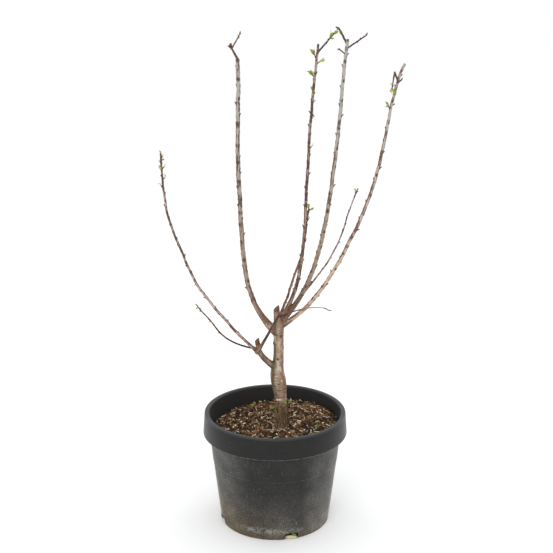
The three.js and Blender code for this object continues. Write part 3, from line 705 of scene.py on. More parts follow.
# Trunk and low bough
# The grafted stem: a rough rootstock, the swollen graft, a smooth stem up to the fork with
# the old leader sawn off above it, and the short low bough with its own sawn stub. The feet
# of the big limbs run out of it, so that all crotches are one skin of bark.
trunk_top = 427
trunk_rise = trunk_top - trunk_foot.z / mm
trunk_sunk = 2.5
rootstock_radius, stem_radius = 11.7, 10
graft_height, graft_swelling = 299, 3.4
fork_height, fork_swelling = 408, 0.7
foot_flare = 1.9
saw_cut = Vector((-0.62, -0.3, 0.72)).normalized()
top_stub_foot = (4.6, -6, 404)
top_stub_radii, low_stub_radii = (7.2, 5.6), (5.2, 4.4)
top_cut, low_cut = 0.83, 0.76
stub_reach = 8.5 * mm
bough_head_radius = 6 * mm
wood_voxel = 0.67 * mm
wrinkle_size, wrinkle_depth = 7 * mm, 1.3 * mm
pit_size, pit_depth = 2.2 * mm, 0.35 * mm
knots = [
    # height, turn and size of each healed pruning scar
    (391, -62, 3.6), (374, 176, 4.4), (366, -4, 3.2), (345, -98, 3.6),
]
# The two crotches, where the bark is darkened as painted shade: place and size of each
crotches = [((-13, -14, 397), 5), ((-2, -14, 336), 7)]
limb_feet = {
    # how long a stretch belongs to the trunk, and how much is added to its radius at its ends
    "left_leader": (46, 0.5, -0.45), "grey_leader": (60, 0.4, -0.4),
    "brown_leader": (42, 0.35, -0.4), "right_leader": (34, 0.5, -0.4),
    "low_whip": (22, 0.6, -0.35), "crossing_twig": (16, 0.7, -0.3),
    "thin_shoot": (14, 0.6, -0.25),
}


def hill(value, middle, spread):
    return math.exp(-((value - middle) / spread) ** 2)


def eased(value, low, high):
    share = min(max((value - low) / (high - low), 0), 1)
    return share * share * (3 - 2 * share)


def heading(turn, lift):
    turned, lifted = math.radians(turn), math.radians(lift)
    level = math.cos(lifted)
    return Vector((level * math.cos(turned), level * math.sin(turned), math.sin(lifted)))


def trunk_share(height):
    """The share of the trunk's rise that lies under a height, here in metres."""
    return (height - trunk_foot.z) / (trunk_top * mm - trunk_foot.z)


def trunk_point(share):
    height = trunk_foot.z / mm + trunk_rise * share
    shift = 4.9 * eased(height, 240, 320) + 2.8 * hill(height, 315, 22)
    return Vector((trunk_foot.x - shift * mm, trunk_foot.y + 8 * share * mm, height * mm))


def trunk_radius(share, turn=0):
    height = trunk_foot.z / mm + trunk_rise * share
    stem = rootstock_radius + (stem_radius - rootstock_radius) * eased(height, 285, 350)
    stem += (graft_swelling * hill(height, graft_height, 26)
             + fork_swelling * hill(height, fork_height, 15))
    stem += foot_flare * math.exp(-(height - 200) / 7)
    shoulder = min(1, math.sqrt(max(0.25, (trunk_top - height) / 12)))
    ribs = 0.28 * math.sin(3 * turn + height / 30) + 0.2 * math.sin(2 * turn - height / 19)
    return (stem * shoulder + ribs) * mm


# The limbs, in millimetres. Each rises from its foot and reaches sideways and back; sweep is
# the share of the reach that it makes early, power how early, sway a slow wander sideways.
limbs = {
    "low_bough": dict(foot=(1, -10, 325), rise=44, reach=(-33.5, -16), sweep=0.75, power=1.7,
                      radii=(5.9, 5.2), flare=(2, 9), root=0.1),
    "left_leader": dict(foot=(-8.9, -6, 408), rise=510, reach=(-60.8, 45), sweep=0.94, power=9.6,
                        sway=(2.4, 1.24, 0.916), radii=(4.6, 3.6), flare=(3.2, 20), root=0.02),
    "grey_leader": dict(foot=(25, 2, 431), rise=512, reach=(109, 45), sweep=0.49, power=8.5,
                        sway=(3.7, 0.84, 0.75), radii=(4.3, 2.9), flare=(1.6, 30), root=0.045,
                        top=1.022),
    "brown_leader": dict(foot=(17, 5, 430), rise=493, reach=(64, 95), sweep=0.56, power=7.9,
                         depth_sweep=0, sway=(6, 0.4, 0.48), radii=(3.5, 2.3), flare=(1.6, 26),
                         root=0.03, top=1.032),
    "right_leader": dict(foot=(14.7, -8, 411), rise=511, reach=(212.2, -80), sweep=0.391,
                         power=6.97, sway=(9, 1.073, 0.607), radii=(3.8, 2.3), flare=(1.8, 24),
                         root=0.02, top=1.008),
    "thin_shoot": dict(foot=(21.2, -11, 427), rise=254, reach=(135.5, 14), sweep=0.469,
                       power=2.12, sway=(4, 1.214, 0.633), radii=(1.9, 1.2), flare=(0.5, 10),
                       root=0.02),
    "weak_twig": dict(foot=(23, -12, 436.5), rise=25.4, reach=(70.7, -43), sweep=0.75,
                      power=0.5, radii=(1.4, 0.9), root=0.35),
    "low_whip": dict(foot=(-33.2, -26, 363), rise=406, reach=(-169.8, -90), sweep=0.964,
                     power=2.23, sway=(1.5, 2.56, -0.188), radii=(2.8, 1.7), flare=(1.4, 16),
                     root=0.01),
    "low_twig": dict(foot=(-48, -33, 374), rise=102, reach=(-98, -45), sweep=0.49, power=3.4,
                     sway=(6, 0.75, 0.79), radii=(1.8, 1.1), root=0.02),
    "crossing_twig": dict(foot=(-28, -32, 375), rise=281, reach=(89.8, -30), sweep=0.73,
                          power=2.1, sway=(1.5, 2.4, 0.52), radii=(2.6, 1.6), flare=(1, 12),
                          root=0.05),
}

# Every run deals the limbs the same small kinks
noise.seed_set(5)


def limb_path(limb):
    def path(share):
        height = share * limb["rise"]
        early = 1 - (1 - min(share, 1)) ** limb["power"]
        swept = limb["sweep"] * early + (1 - limb["sweep"]) * share
        depth = limb.get("depth_sweep", 1)
        back = depth * swept + (1 - depth) * share
        size, waves, phase = limb.get("sway", (0, 1, 0))
        fade = math.sqrt(max(math.sin(math.pi * min(max(share, 0), 1)), 0))
        wander = size * fade * math.sin(math.tau * (waves * share + phase))
        foot, reach = limb["foot"], limb["reach"]
        kink = noise.noise_vector(Vector((height / 21, reach[0], 0))) * eased(height, 10, 60)
        return (Vector((foot[0] + reach[0] * swept + wander, foot[1] + reach[1] * back,
                        foot[2] + height)) + Vector((kink.x, kink.y, 0)) * 1.1) * mm
    return path


def limb_radius(limb, share):
    foot, tip = limb["radii"]
    flare, length = limb.get("flare", (0, 1))
    up = max(share, 0)
    return (foot + (tip - foot) * up + flare * math.exp(-up * limb["rise"] / length)) * mm


def limb_foot(name, length, grow, shrink):
    """The first stretch of a limb, a little fuller at its foot and slimmer at its end."""
    limb = limbs[name]
    last = min(length / limb["rise"], 1)
    first = -limb["root"]

    def radius(share, turn):
        along = (share - first) / (last - first)
        return limb_radius(limb, share) + (grow + (shrink - grow) * along) * mm
    return rod(limb_path(limb), radius, 20, max(8, int(length / 2)), first=first, last=last)


def sawn_stub(path, foot, tip, cut):
    """A short rod of old wood, cut across at a share of its length, and the cut closed."""
    def radius(share, turn):
        return (foot + (tip - foot) * share + 0.3 * math.sin(3 * turn)) * mm
    stub = rod(path, radius, 24, 25)
    bpy.ops.object.mode_set(mode="EDIT")
    bpy.ops.mesh.select_all(action="SELECT")
    bpy.ops.mesh.bisect(plane_co=path(cut), plane_no=saw_cut, use_fill=True, clear_outer=True)
    bpy.ops.object.mode_set(mode="OBJECT")
    return stub


def straight(start, way, length):
    return lambda share: start + way * length * share * mm


def knot_place(height, turn, sunk=0):
    share = trunk_share(height * mm)
    return trunk_point(share) + heading(turn, 0) * (trunk_radius(share) - sunk * mm)


def knot(height, turn, size):
    """A healed pruning scar: a low button of callus with a dent in its middle."""
    select_only()
    bpy.ops.mesh.primitive_uv_sphere_add(segments=20, ring_count=12, radius=size * mm)
    button = bpy.context.object
    for vertex in button.data.vertices:
        dent = hill(vertex.co.xy.length / (size * mm), 0, 0.45) if vertex.co.z > 0 else 0
        vertex.co.z *= 1 - 0.55 * dent
        vertex.co.z *= 0.9
        vertex.co.y *= 0.8
    turned = heading(turn, 0).to_track_quat("Z", "Y").to_matrix().to_4x4()
    button.data.transform(Matrix.Translation(knot_place(height, turn, size * 0.4)) @ turned)
    return button


def bough_head():
    """The rounded end of the low bough, that its stub and the low whip grow from."""
    head = limb_path(limbs["low_bough"])(1)
    select_only()
    bpy.ops.mesh.primitive_uv_sphere_add(segments=24, ring_count=16, radius=bough_head_radius,
                                         location=head)
    return bpy.context.object


def limb_there(place):
    """How far a place on the bark belongs to a limb, from 0 on the trunk to 1 clear of it."""
    share = trunk_share(place.z)
    away = (place.xy - trunk_point(share).xy).length / trunk_radius(min(share, 0.95))
    return max(eased(away, 1.12, 1.5), eased(place.z / mm, 414, 432)) * eased(place.z / mm, 316, 326)


def paint_bark(wood):
    """Writes "zone" on the bark: how far round to the right a place lies, from -1 to 1, how far
    it belongs to a limb, and how near it is to a healed knot or to a crotch, whose bark is
    darkened as painted shade."""
    zone = wood.data.attributes.new("zone", "FLOAT_VECTOR", "POINT")
    buttons = [(knot_place(height, turn), size * mm) for height, turn, size in knots]
    buttons += [(Vector(place) * mm, size * mm) for place, size in crotches]
    for vertex in wood.data.vertices:
        share = trunk_share(vertex.co.z)
        right = (vertex.co.x - trunk_point(share).x) / trunk_radius(min(share, 0.95))
        knot_scar_and_crotch_shade = max(hill((vertex.co - place).length / size, 0, 1) for place, size in buttons)
        zone.data[vertex.index].vector = (max(-1, min(1, right)), limb_there(vertex.co), knot_scar_and_crotch_shade)


def grafted_bark():
    # Young plum bark: a thin papery skin with a silvery sheen, banded round the stem by
    # wrinkles and lenticels; olive and rough on the rootstock, tan to purple-brown above, with
    # a painted highlight in the tan and painted shade on the limbs' undersides and in the crotches
    material, add = new_material("young_plum_trunk_bark")
    place = add("TexCoord", output="Object")
    height = add("SeparateXYZ", [place], "Z")
    zone = add("Attribute", output="Vector", attribute_name="zone")
    right, limb, knot_scar_and_crotch_shade = [add("SeparateXYZ", [zone], axis) for axis in "XYZ"]
    facing = add("NewGeometry", output="Normal")
    upward = add("SeparateXYZ", [facing], "Z")
    upright = add("Mapping", {"Vector": place, "Scale": (1, 1, 0.3)})
    round_stem = add("Mapping", {"Vector": place, "Scale": (1, 1, 4)})
    patches = add("TexNoise", [upright, 110, 5])
    specks = add("TexNoise", [upright, 300, 3])
    bands = add("TexNoise", [round_stem, 85, 4])
    flecks = add("TexNoise", [place, 520, 3])

    # From the shaded olive side to the side that has been in the sun. The tan between them, down the
    # front of the stem, is partly the bark's own and partly a painted highlight, palest half way from the
    # graft to the fork.
    side = add("Math", [patches, 1.6, -0.8], operation="MULTIPLY_ADD")
    side = add("Math", [right, side])
    olive_to_tan = add("MapRange", [side, -0.95, 0.12], interpolation_type="SMOOTHSTEP")
    tan_to_russet = add("MapRange", [side, 0.14, 0.56, 0, 0.9], interpolation_type="SMOOTHSTEP")
    from_middle = add("Math", [height, 352 * mm], operation="SUBTRACT")
    from_middle = add("Math", [from_middle], operation="ABSOLUTE")
    from_middle = add("MapRange", [from_middle, 15 * mm, 48 * mm])
    # Painted highlight: the tan is palest around 352 mm, where it faces the front
    tan_and_highlight = add("Mix", [from_middle, "#c3a98c", "#987e61"], data_type="RGBA")
    stains = add("MapRange", [specks, 0.48, 0.66, 0, 0.6])

    # The limbs' feet are taupe and russet where the sky reaches them, and their undersides are darkened
    # as painted shade
    mottled = add("MapRange", [patches, 0.4, 0.6])
    skyward = add("MapRange", [upward, 0.08, 0.5, 0, 0.75], interpolation_type="SMOOTHSTEP")
    # Painted shade: darker where the surface faces down
    underside_shade = add("MapRange", [upward, 0.05, -0.55, 0, 0.75], interpolation_type="SMOOTHSTEP")
    limb_colour = "#6b563f"
    for share, tone in ((mottled, "#968069"), (skyward, "#6c4531"), (underside_shade, "#403023")):
        limb_colour = add("Mix", [share, limb_colour, tone], data_type="RGBA")

    # The papery outer skin is silvery where it is whole, and dark where it has cracked
    low = add("MapRange", [height, 318 * mm, 288 * mm, 0.35, 0.95])
    whole = add("Math", [bands, 0.5], operation="SUBTRACT")
    whole = add("Math", [whole, low, patches], operation="MULTIPLY_ADD")
    whole = add("Math", [limb, -0.08, whole], operation="MULTIPLY_ADD")
    whole = add("MapRange", [whole, 0.51, 0.64, 0, 0.7])
    on_graft = add("MapRange", [height, 284 * mm, 304 * mm, 0.4, 1])
    whole = add("Math", [whole, on_graft], operation="MULTIPLY")
    cracks = add("MapRange", [bands, 0.47, 0.33])
    cracks = add("Math", [cracks, low], operation="MULTIPLY")
    # Dark healed knots, and the crotches darkened as painted shade
    healed_and_crotch_shade = add("MapRange", [knot_scar_and_crotch_shade, 0.2, 0.7, 0, 0.85])

    # Rootstock: soiled and olive-brown below the graft, along an uneven line
    stock = add("Math", [patches, 0.04, -0.02], operation="MULTIPLY_ADD")
    stock = add("Math", [height, stock])
    stock = add("MapRange", [stock, 264 * mm, 246 * mm, 0, 0.92], interpolation_type="SMOOTHSTEP")
    mud = add("Math", [flecks, specks], operation="MULTIPLY")
    mud = add("MapRange", [mud, 0.18, 0.33])
    soiled = add("Mix", [mud, "#2c1f13", "#836a42"], data_type="RGBA")

    # The layers, from the first to the last: how much of each there is, and its colour
    layers = [
        (olive_to_tan, tan_and_highlight), (tan_to_russet, "#815d51"), (stains, "#614a39"),
        (limb, limb_colour), (whole, "#b7aba0"), (cracks, "#42342a"),
        (healed_and_crotch_shade, "#3a2d24"),
    ]
    # Where the low bough leaves, the skin is stretched pale, and algae make its collar olive
    for middle, tone in (((10, -24, 325), "#c6bdb6"), ((-1, -21, 333), "#696043")):
        near = add("VectorMath", [place, Vector(middle) * mm], operation="DISTANCE")
        near = add("MapRange", [near, 9.5 * mm, 3.5 * mm, 0, 0.3])
        near = add("Math", [near, specks])
        near = add("MapRange", [near, 0.62, 0.76, 0, 0.8])
        layers.append((near, tone))
    layers.append((stock, soiled))
    colour = "#5d4b30"
    for share, tone in layers:
        colour = add("Mix", [share, colour, tone], data_type="RGBA")

    relief = add("Math", [bands, flecks])
    relief = add("Bump", {"Strength": 0.5, "Distance": 0.5 * mm, "Height": relief})
    gloss = add("MapRange", [whole, 0, 0.7, 0.72, 0.5])
    bark = add("BsdfPrincipled", {
        "Base Color": colour, "Roughness": gloss, "Specular IOR Level": 0.35, "Normal": relief,
    })
    add("OutputMaterial", [bark])
    return material


def dead_wood(name, dark, light):
    # The dead end of a stub: dry end grain on the saw cut, and shrunken red-brown bark below it
    material, add = new_material(name)
    place = add("TexCoord", output="Object")
    fibres = add("TexNoise", [place, 900, 4])
    colour = add("Mix", [fibres, dark, light], data_type="RGBA")
    relief = add("Bump", {"Strength": 0.5, "Distance": 0.3 * mm, "Height": fibres})
    wood = add("BsdfPrincipled", {
        "Base Color": colour, "Roughness": 0.88, "Specular IOR Level": 0.3, "Normal": relief,
    })
    add("OutputMaterial", [wood])
    return material


def wrinkled(wood):
    """Relief in the mesh itself: wrinkles run round the rootstock and the graft, pits lie over
    the whole. A squashed empty gives the wrinkles their texture space."""
    low = wood.vertex_groups.new(name="wrinkled")
    for vertex in wood.data.vertices:
        low.add([vertex.index], 0.3 + 0.7 * eased(vertex.co.z / mm, 320, 285), "REPLACE")
    select_only()
    bpy.ops.object.empty_add()
    space = bpy.context.object
    space.scale = (1, 1, 0.3)
    bpy.context.view_layer.update()
    apply_modifier(wood, "DISPLACE", texture=lumps("wrinkles", wrinkle_size), strength=wrinkle_depth,
                   vertex_group=low.name, texture_coords="OBJECT", texture_coords_object=space)
    bpy.data.objects.remove(space)
    wood.vertex_groups.clear()
    apply_modifier(wood, "DISPLACE", texture=lumps("pits", pit_size), strength=pit_depth)


top_stub = straight(Vector(top_stub_foot) * mm, heading(180, 87.5), 50)
low_stub = straight(limb_path(limbs["low_bough"])(0.9), heading(186, 80), 30)
trunk = joined([
    rod(trunk_point, trunk_radius, 48, 110, first=-trunk_sunk / trunk_rise),
    sawn_stub(top_stub, *top_stub_radii, top_cut),
    *[knot(*sizes) for sizes in knots],
    limb_foot("low_bough", limbs["low_bough"]["rise"], 0, 0),
    bough_head(),
    sawn_stub(low_stub, *low_stub_radii, low_cut),
    *[limb_foot(name, *sizes) for name, sizes in limb_feet.items()],
], "trunk_and_low_bough")
apply_modifier(trunk, "REMESH", mode="VOXEL", voxel_size=wood_voxel)
apply_modifier(trunk, "SMOOTH", factor=0.5, iterations=4)
wrinkled(trunk)
paint_bark(trunk)
select_only(trunk)
bpy.ops.object.shade_smooth_by_angle(angle=math.radians(60))
coat(trunk, grafted_bark(), dead_wood("weathered_saw_cut", "#3f2d22", "#7b6252"),
     dead_wood("dead_stub_bark", "#2e1d13", "#8a5a3d"))
for face in trunk.data.polygons:
    on_cut = any(abs((face.center - place).dot(saw_cut)) < 1.1 * mm
                 and (face.center - place).length < 9 * mm and face.normal.dot(saw_cut) > 0.75
                 for place in (top_stub(top_cut), low_stub(low_cut)))
    from_stubs = min((face.center - low_stub(0.7)).length, (face.center - top_stub(top_cut)).length)
    face.material_index = 1 if on_cut else 2 if from_stubs < stub_reach else 0
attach(trunk, "root")
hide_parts("trunk", "low_bough")


# Marks on the trunk
# Small things that stand on the bark: a torn scar where a sucker was pulled off, still pink, a
# bead of dried gum on the graft, and a young sprout with its first leaves.
trunk_marks = {
    # the colour of each, and the places and half widths of its lumps in millimetres
    "torn_scar": ("#d9b8a4", [((8.4, -25.6, 261.8), (6.2, 1.1, 1.5)),
                              ((4.9, -25.2, 262.7), (2.6, 1, 1.1))]),
    "gum_bead": ("#e6d3c0", [((13, -27.6, 302.4), (1.3, 1.2, 1.4))]),
    "trunk_sprout": ("#7d9c33", [((16.6, -24.5, 258.8), (2.6, 1, 2.2)),
                                 ((19.4, -23.8, 255.4), (2.4, 1, 1.9)),
                                 ((21.6, -22.5, 254.4), (1.7, 0.9, 1.2))]),
}
for name, (colour, places) in trunk_marks.items():
    mark = joined([lump(place, sizes, 0.5) for place, sizes in places], name)
    bpy.ops.object.shade_smooth()
    coat(mark, plain_matter("plain_" + name, colour))
    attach(mark, "root")


# Leaders and whips
# The long shoots of the last seasons: round rods of wood in a thin shiny skin, swollen a
# little at each node, where a bud stands on its leaf scar. Each runs unbroken from the fork,
# or from its parent, to the tip, through the crown that it carries.
bud_spacing = (19, 31)
bud_length = (4.5, 7)
small_bud = 0.72
first_bud = 28
golden_angle = 137.5
node_spread = 2.8
node_swelling = 0.13
crowns = {
    # limb: the share of its rise where the crown begins, and the seed of its buds
    "left_leader": (0.7, 21), "brown_leader": (0.62, 22), "grey_leader": (0.7, 23),
    "right_leader": (0.74, 24), "low_whip": (0.82, 25), "thin_shoot": (0.86, 26),
    "crossing_twig": (0.87, 27), "low_twig": (1, 28),
}
skins = {
    # limb: slot, bark under the skin, skin, bark reddened by the sun, how much of the skin is
    # whole and how much more of it a metre further up, and how silver it turns up there
    "left_leader": ("silver_bark", "#5a4136", "#998473", "#5e382a", 0.12, -0.1, 0.9),
    "grey_leader": ("silver_bark", "#5c4536", "#9a856f", "#5e4132", 0.16, -0.05, 1),
    "brown_leader": ("brown_bark", "#4e3226", "#a0866f", "#573426", 0.04, -0.2, 0.35),
    "right_leader": ("tan_bark", "#694937", "#bda791", "#7a4b31", 0.17, -0.3, 0.8),
    "thin_shoot": ("brown_bark", "#4e342c", "#9e867c", "#613e33", 0.1, -0.3, 0.2),
    "weak_twig": ("brown_bark", "#5a3122", "#a1937b", "#6c3f2c", -0.25, 6, 0),
    "low_whip": ("brown_bark", "#55382f", "#ad988d", "#61362a", 0.15, -0.5, 0.3),
    "low_twig": ("brown_bark", "#2a140c", "#6a412b", "#4c2517", -0.05, 0, 0),
    "crossing_twig": ("brown_bark", "#3b1e13", "#7b5946", "#5c2c1a", 0, 0.2, 0.2),
}


def seeded_draw(seed):
    """The frame's own dealer of numbers, so that the buds stand where its buds stand."""
    mask = 0xFFFFFFFF
    state = seed * 2654435761 & mask

    def draw(low, high):
        nonlocal state
        state = (state + 0x6D2B79F5) & mask
        mixed = (state ^ state >> 15) * (state | 1) & mask
        mixed = (mixed + ((mixed ^ mixed >> 7) * (mixed | 61) & mask) & mask) ^ mixed
        return low + (high - low) * (mixed ^ mixed >> 14) / 4294967296
    return draw


def share_of(length, limb, share):
    """The share of a limb's rise that a length along it takes up."""
    probe = 1e-3
    path = limb_path(limb)
    return length * mm * probe / (path(share) - path(share - probe)).length


def buds_along(name):
    """(share, turn, length) of each bud, first up the bare wood and then up the crown, and of a
    smaller one half way to the next, on the other side."""
    limb = limbs[name]
    start, seed = crowns[name]
    buds = []
    for first, last, dealt in ((first_bud / limb["rise"], start, seed + 100), (start, 0.98, seed)):
        draw = seeded_draw(dealt)
        turn = draw(0, 360)
        share = first + share_of(draw(*bud_spacing) / 2 + bud_length[1], limb, first)
        while share < last:
            length = draw(*bud_length)
            buds.append((share, turn, length))
            step = share_of(draw(*bud_spacing), limb, share)
            if share + step / 2 < 1:
                buds.append((share + step / 2, turn + 1.8 * golden_angle, small_bud * length))
            turn += golden_angle
            share += step
    return buds


def bud_frame(limb, share, turn, sink):
    """Where a bud stands on a limb: its base, the way out of the limb and the way along it."""
    path = limb_path(limb)
    nudge = 1e-3
    along = (path(share + nudge) - path(share - nudge)).normalized()
    side = along.cross(Vector((0, 1, 0))).normalized()
    out = side * math.cos(math.radians(turn)) + side.cross(along) * math.sin(math.radians(turn))
    return path(share) + out * (limb_radius(limb, share) - sink * mm), out, along


def whip(name, buds):
    """A limb from foot to tip, swollen at its nodes. "scar" marks the dark skin at each bud, and
    the second attribute is 1 at the limb's left and right sides as seen from the front, where
    the bark is darkened as painted shade."""
    limb = limbs[name]
    last = limb.get("top", 1)
    rings = int(1.15 * limb["rise"] * last / 2) + 12

    def radius(share, turn):
        at_node = min(sum(hill(share, bud[0], node_spread / limb["rise"]) for bud in buds), 1)
        here = Vector((math.cos(turn), math.sin(turn), share * limb["rise"] / 9))
        uneven = 1 + 0.05 * noise.noise(here) + 0.035 * noise.noise(here * 2.7)
        return limb_radius(limb, share) * (uneven + node_swelling * at_node)
    made = rod(limb_path(limb), radius, 14, rings, first=-limb["root"], last=last)
    made.name = name + "_wood"
    scar, flank = [made.data.attributes.new(word, "FLOAT", "POINT") for word in ("scar", "flank")]
    grain = made.data.attributes["grain"].data
    places = [(base, along) for base, _, along in (bud_frame(limb, *bud[:2], 0) for bud in buds)]
    spread = max(1.6, limb_radius(limb, 0.5) / mm * 0.62)
    for vertex in made.data.vertices:
        aways = [(vertex.co - base, along) for base, along in places]
        nearest = min(((away - 0.3 * along * away.dot(along)).length for away, along in aways), default=1)
        scar.data[vertex.index].value = hill(nearest / mm, 0, spread)
        around = Vector(grain[vertex.index].vector[:2])
        flank.data[vertex.index].value = abs(around.x) / max(around.length, 0.01 * mm)
    return made


def shoot_bark(name, under, skin, sunned, cover, more, silver):
    # One- and two-year-old plum wood: a smooth reddish-brown bark under a thin silver skin
    # that splits along the shoot, with small pale lenticels and dark skin at the nodes
    material, add = new_material(name)
    grain = add("Attribute", output="Vector", attribute_name="grain")
    scar, flank = [add("Attribute", output="Fac", attribute_name=word) for word in ("scar", "flank")]
    run = add("SeparateXYZ", [grain], "Z")
    facing = add("NewGeometry", output="Normal")
    upward = add("SeparateXYZ", [facing], "Z")
    along = add("Mapping", {"Vector": grain, "Scale": (1, 1, 0.12)})
    across = add("Mapping", {"Vector": grain, "Scale": (1, 1, 3.2)})
    splits = add("TexNoise", [along, 260, 4])
    blotches = add("TexNoise", [grain, 120, 4])
    dots = add("TexNoise", [across, 420, 2])
    whole = add("Math", [splits, 1.5, blotches], operation="MULTIPLY_ADD")
    # Painted shade: less pale skin towards the limb's left and right edges, seen from the front
    whole = add("Math", [flank, -0.24, whole], operation="MULTIPLY_ADD")
    whole = add("Math", [run, more, whole], operation="MULTIPLY_ADD")
    whole = add("MapRange", [whole, 1.12 - cover, 1.3 - cover])
    silvered = add("MapRange", [run, 0.2, 0.42, 0, silver])
    skin_colour = add("Mix", [silvered, skin, "#a3a098"], data_type="RGBA")
    sun = add("MapRange", [upward, 0.12, 0.6, 0, 0.8], interpolation_type="SMOOTHSTEP")
    lenticels = add("MapRange", [dots, 0.66, 0.72, 0, 0.5])
    dark = add("MapRange", [scar, 0.15, 0.62, 0, 0.92])
    colour = under
    for share, tone in (
        (whole, skin_colour), (sun, sunned), (lenticels, "#b9ada0"), (dark, "#33201a"),
    ):
        colour = add("Mix", [share, colour, tone], data_type="RGBA")
    relief = add("Bump", {"Strength": 0.35, "Distance": 0.3 * mm, "Height": dots})
    bark = add("BsdfPrincipled", {
        "Base Color": colour, "Roughness": 0.5, "Specular IOR Level": 0.4, "Normal": relief,
    })
    add("OutputMaterial", [bark])
    return material


limb_buds = {name: buds_along(name) for name in crowns}
for name, (slot, *skin) in skins.items():
    wood = whip(name, limb_buds.get(name, []))
    coat(wood, shoot_bark(name + "_bark", *skin))
    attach(wood, "root")
    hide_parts(name)


# Crown twigs
# Short spurs and the forked ends of the leaders, pruned to a few centimetres. Each leaves its
# limb at a share of it, and heads for a turn round the plant and a lift above level; it ends
# in a bud unless it was cut.
crown_twigs = {
    # limb, and its twigs: share of the limb, turn, lift, length, radius at the foot and at the
    # tip, leaves, whether it was cut, and the twigs on it. Leaves are (share along the twig,
    # turn, lift, length, width).
    "left_crown_twigs": ("left_leader", [
        (1, -162, 61, 32, 2, 1.3, [], True, [
            (0.74, 150, 80, 9.5, 1.4, 1.3, [], True),
            (0.7, 178, 40, 8, 1.3, 1.1),
            (0.72, 24, 57, 32, 1.2, 0.9, [(0.78, 150, 78, 4, 2)]),
        ]),
        (0.861, 34, 61, 7.6, 1.3, 0.8),
    ]),
    "brown_crown_twigs": ("brown_leader", [
        (1, 11, 48, 46, 1.6, 1.1, [(0.78, 20, 74, 15, 4.6), (1, 8, 38, 11, 4.4), (0.76, -10, 5, 8, 2)]),
        (0.978, -168, 58, 8.8, 1, 0.8, [(1, -169, 62, 11.5, 5.6)]),
        (0.953, -25, 49, 7.3, 1, 0.8, [(1, -10, 33, 13.5, 3.8)]),
        (0.905, -158, 50, 8.4, 1, 0.8, [(1, -164, 47, 11, 5), (0.9, -80, 68, 8, 3.4)]),
        (0.85, -167, 66, 4, 0.9, 0.8, [(1, -167, 74, 10.5, 2.6)]),
        (0.828, -79, 62, 3.5, 0.9, 0.8, [(1, -79, 74, 7.5, 3.4)]),
        (0.807, -11, 52, 4.5, 0.9, 0.7, [(1, -11, 60, 6, 2.2)]),
        (0.764, 166, 62, 8.7, 1.1, 0.8),
        (0.746, -9, 53, 5, 0.9, 0.7, [(1, -9, 56, 7.5, 2.4)]),
        (0.632, -7, 56, 8, 0.9, 0.7, [(1, -7, 58, 7, 2)]),
    ]),
    "grey_crown_twigs": ("grey_leader", [
        (1.003, 160, 60, 32, 1.8, 1.4, [(0.72, 175, 35, 6, 1.8), (0.66, 60, 80, 6, 2.4)]),
        (0.987, -12, 35, 45, 1.4, 1, [(0.76, 20, 40, 6, 2.4)]),
        (0.966, -157, 39, 17, 1.1, 0.9),
    ]),
    "right_crown_twigs": ("right_leader", [
        (0.946, -165, 70, 19, 1.4, 1.2, [], True, [
            (0.96, -150, -80, 29, 1.2, 0.9,
             [(1, -120, -64, 9, 4.4), (0.86, -150, 60, 6, 3), (1, -20, -40, 7, 3)]),
        ]),
        (0.94, 14, 38, 11, 1.3, 1),
        (0.913, -110, 30, 5.5, 1.2, 1.2, [(1, -75, -58, 10, 3)]),
        (0.843, -132, 58, 9.5, 1, 0.8, [(1, -150, 58, 11, 2.8), (0.9, 175, 10, 7, 2)]),
        (0.861, 20, 20, 7, 1.2, 0.9),
    ]),
    "low_crown_twigs": ("low_whip", [
        (0.985, 13, 48, 4, 0.9, 0.8, [(1, 13, 60, 5, 3)]),
        (0.972, -24, 41, 3, 0.9, 0.8, [(1, -24, 41, 5, 3.6)]),
        (0.957, 145, 60, 3, 0.9, 0.8, [(1, 145, 60, 5.5, 2.4)]),
        (0.935, -12, 47, 7, 0.8, 0.7, [(1, 0, 65, 7, 2.4)]),
        (0.928, -141, 60, 3, 0.9, 0.8, [(1, -141, 69, 8, 3.4)]),
        (0.89, 13, 31, 5.2, 0.9, 0.7, [(1, 0, 85, 7.5, 2.2)]),
        (0.849, -165, 55, 6.8, 0.9, 0.7, [(1, -169, 50, 7, 2.2)]),
        (1, 170, 84, 2, 1.3, 1.1, [(1, -120, 80, 6, 4.4)]),
    ]),
    "thin_crown_twigs": ("thin_shoot", [
        (0.955, -134, 76, 3, 0.8, 0.7, [(1, -134, 80, 9, 2.4)]),
    ]),
    "crossing_crown_twigs": ("crossing_twig", [
        (0.911, -21, 61, 8, 0.9, 0.7, [(1, -10, 75, 5.5, 2.6)]),
        (0.993, -15, 30, 3, 0.9, 0.8, [(1, -15, 26, 8, 3)]),
        (0.979, 167, 42, 3, 0.9, 0.8, [(1, 167, 55, 5, 2.4)]),
        (1, -147, 80, 2.5, 1.2, 1, [(1, -147, 80, 9.5, 3.6)]),
    ]),
}
weak_twig_tip = (1, -27, -17, 12, 0.9, 0.7)
low_twig_leaves = [
    (0.945, -154, -15, 5, 2), (0.897, 40, 58, 6, 2), (0.864, -152, 20, 5, 2),
    (0.648, -154, -4, 5, 2), (1, -162, 50, 4, 2),
]
twig_skin = ("#2f1c13", "#735848", "#482a1e", -0.12, 0, 0)
twig_fullness = 1.22
twig_bud_spacing = 8
twig_bud_length = 4
tip_bud_length = 7
leaf_places = []
twig_bud_places = []


def bear_leaves(path, leaves):
    for share, turn, lift, length, width in leaves:
        leaf_places.append((path(share), heading(turn, lift), length, width))


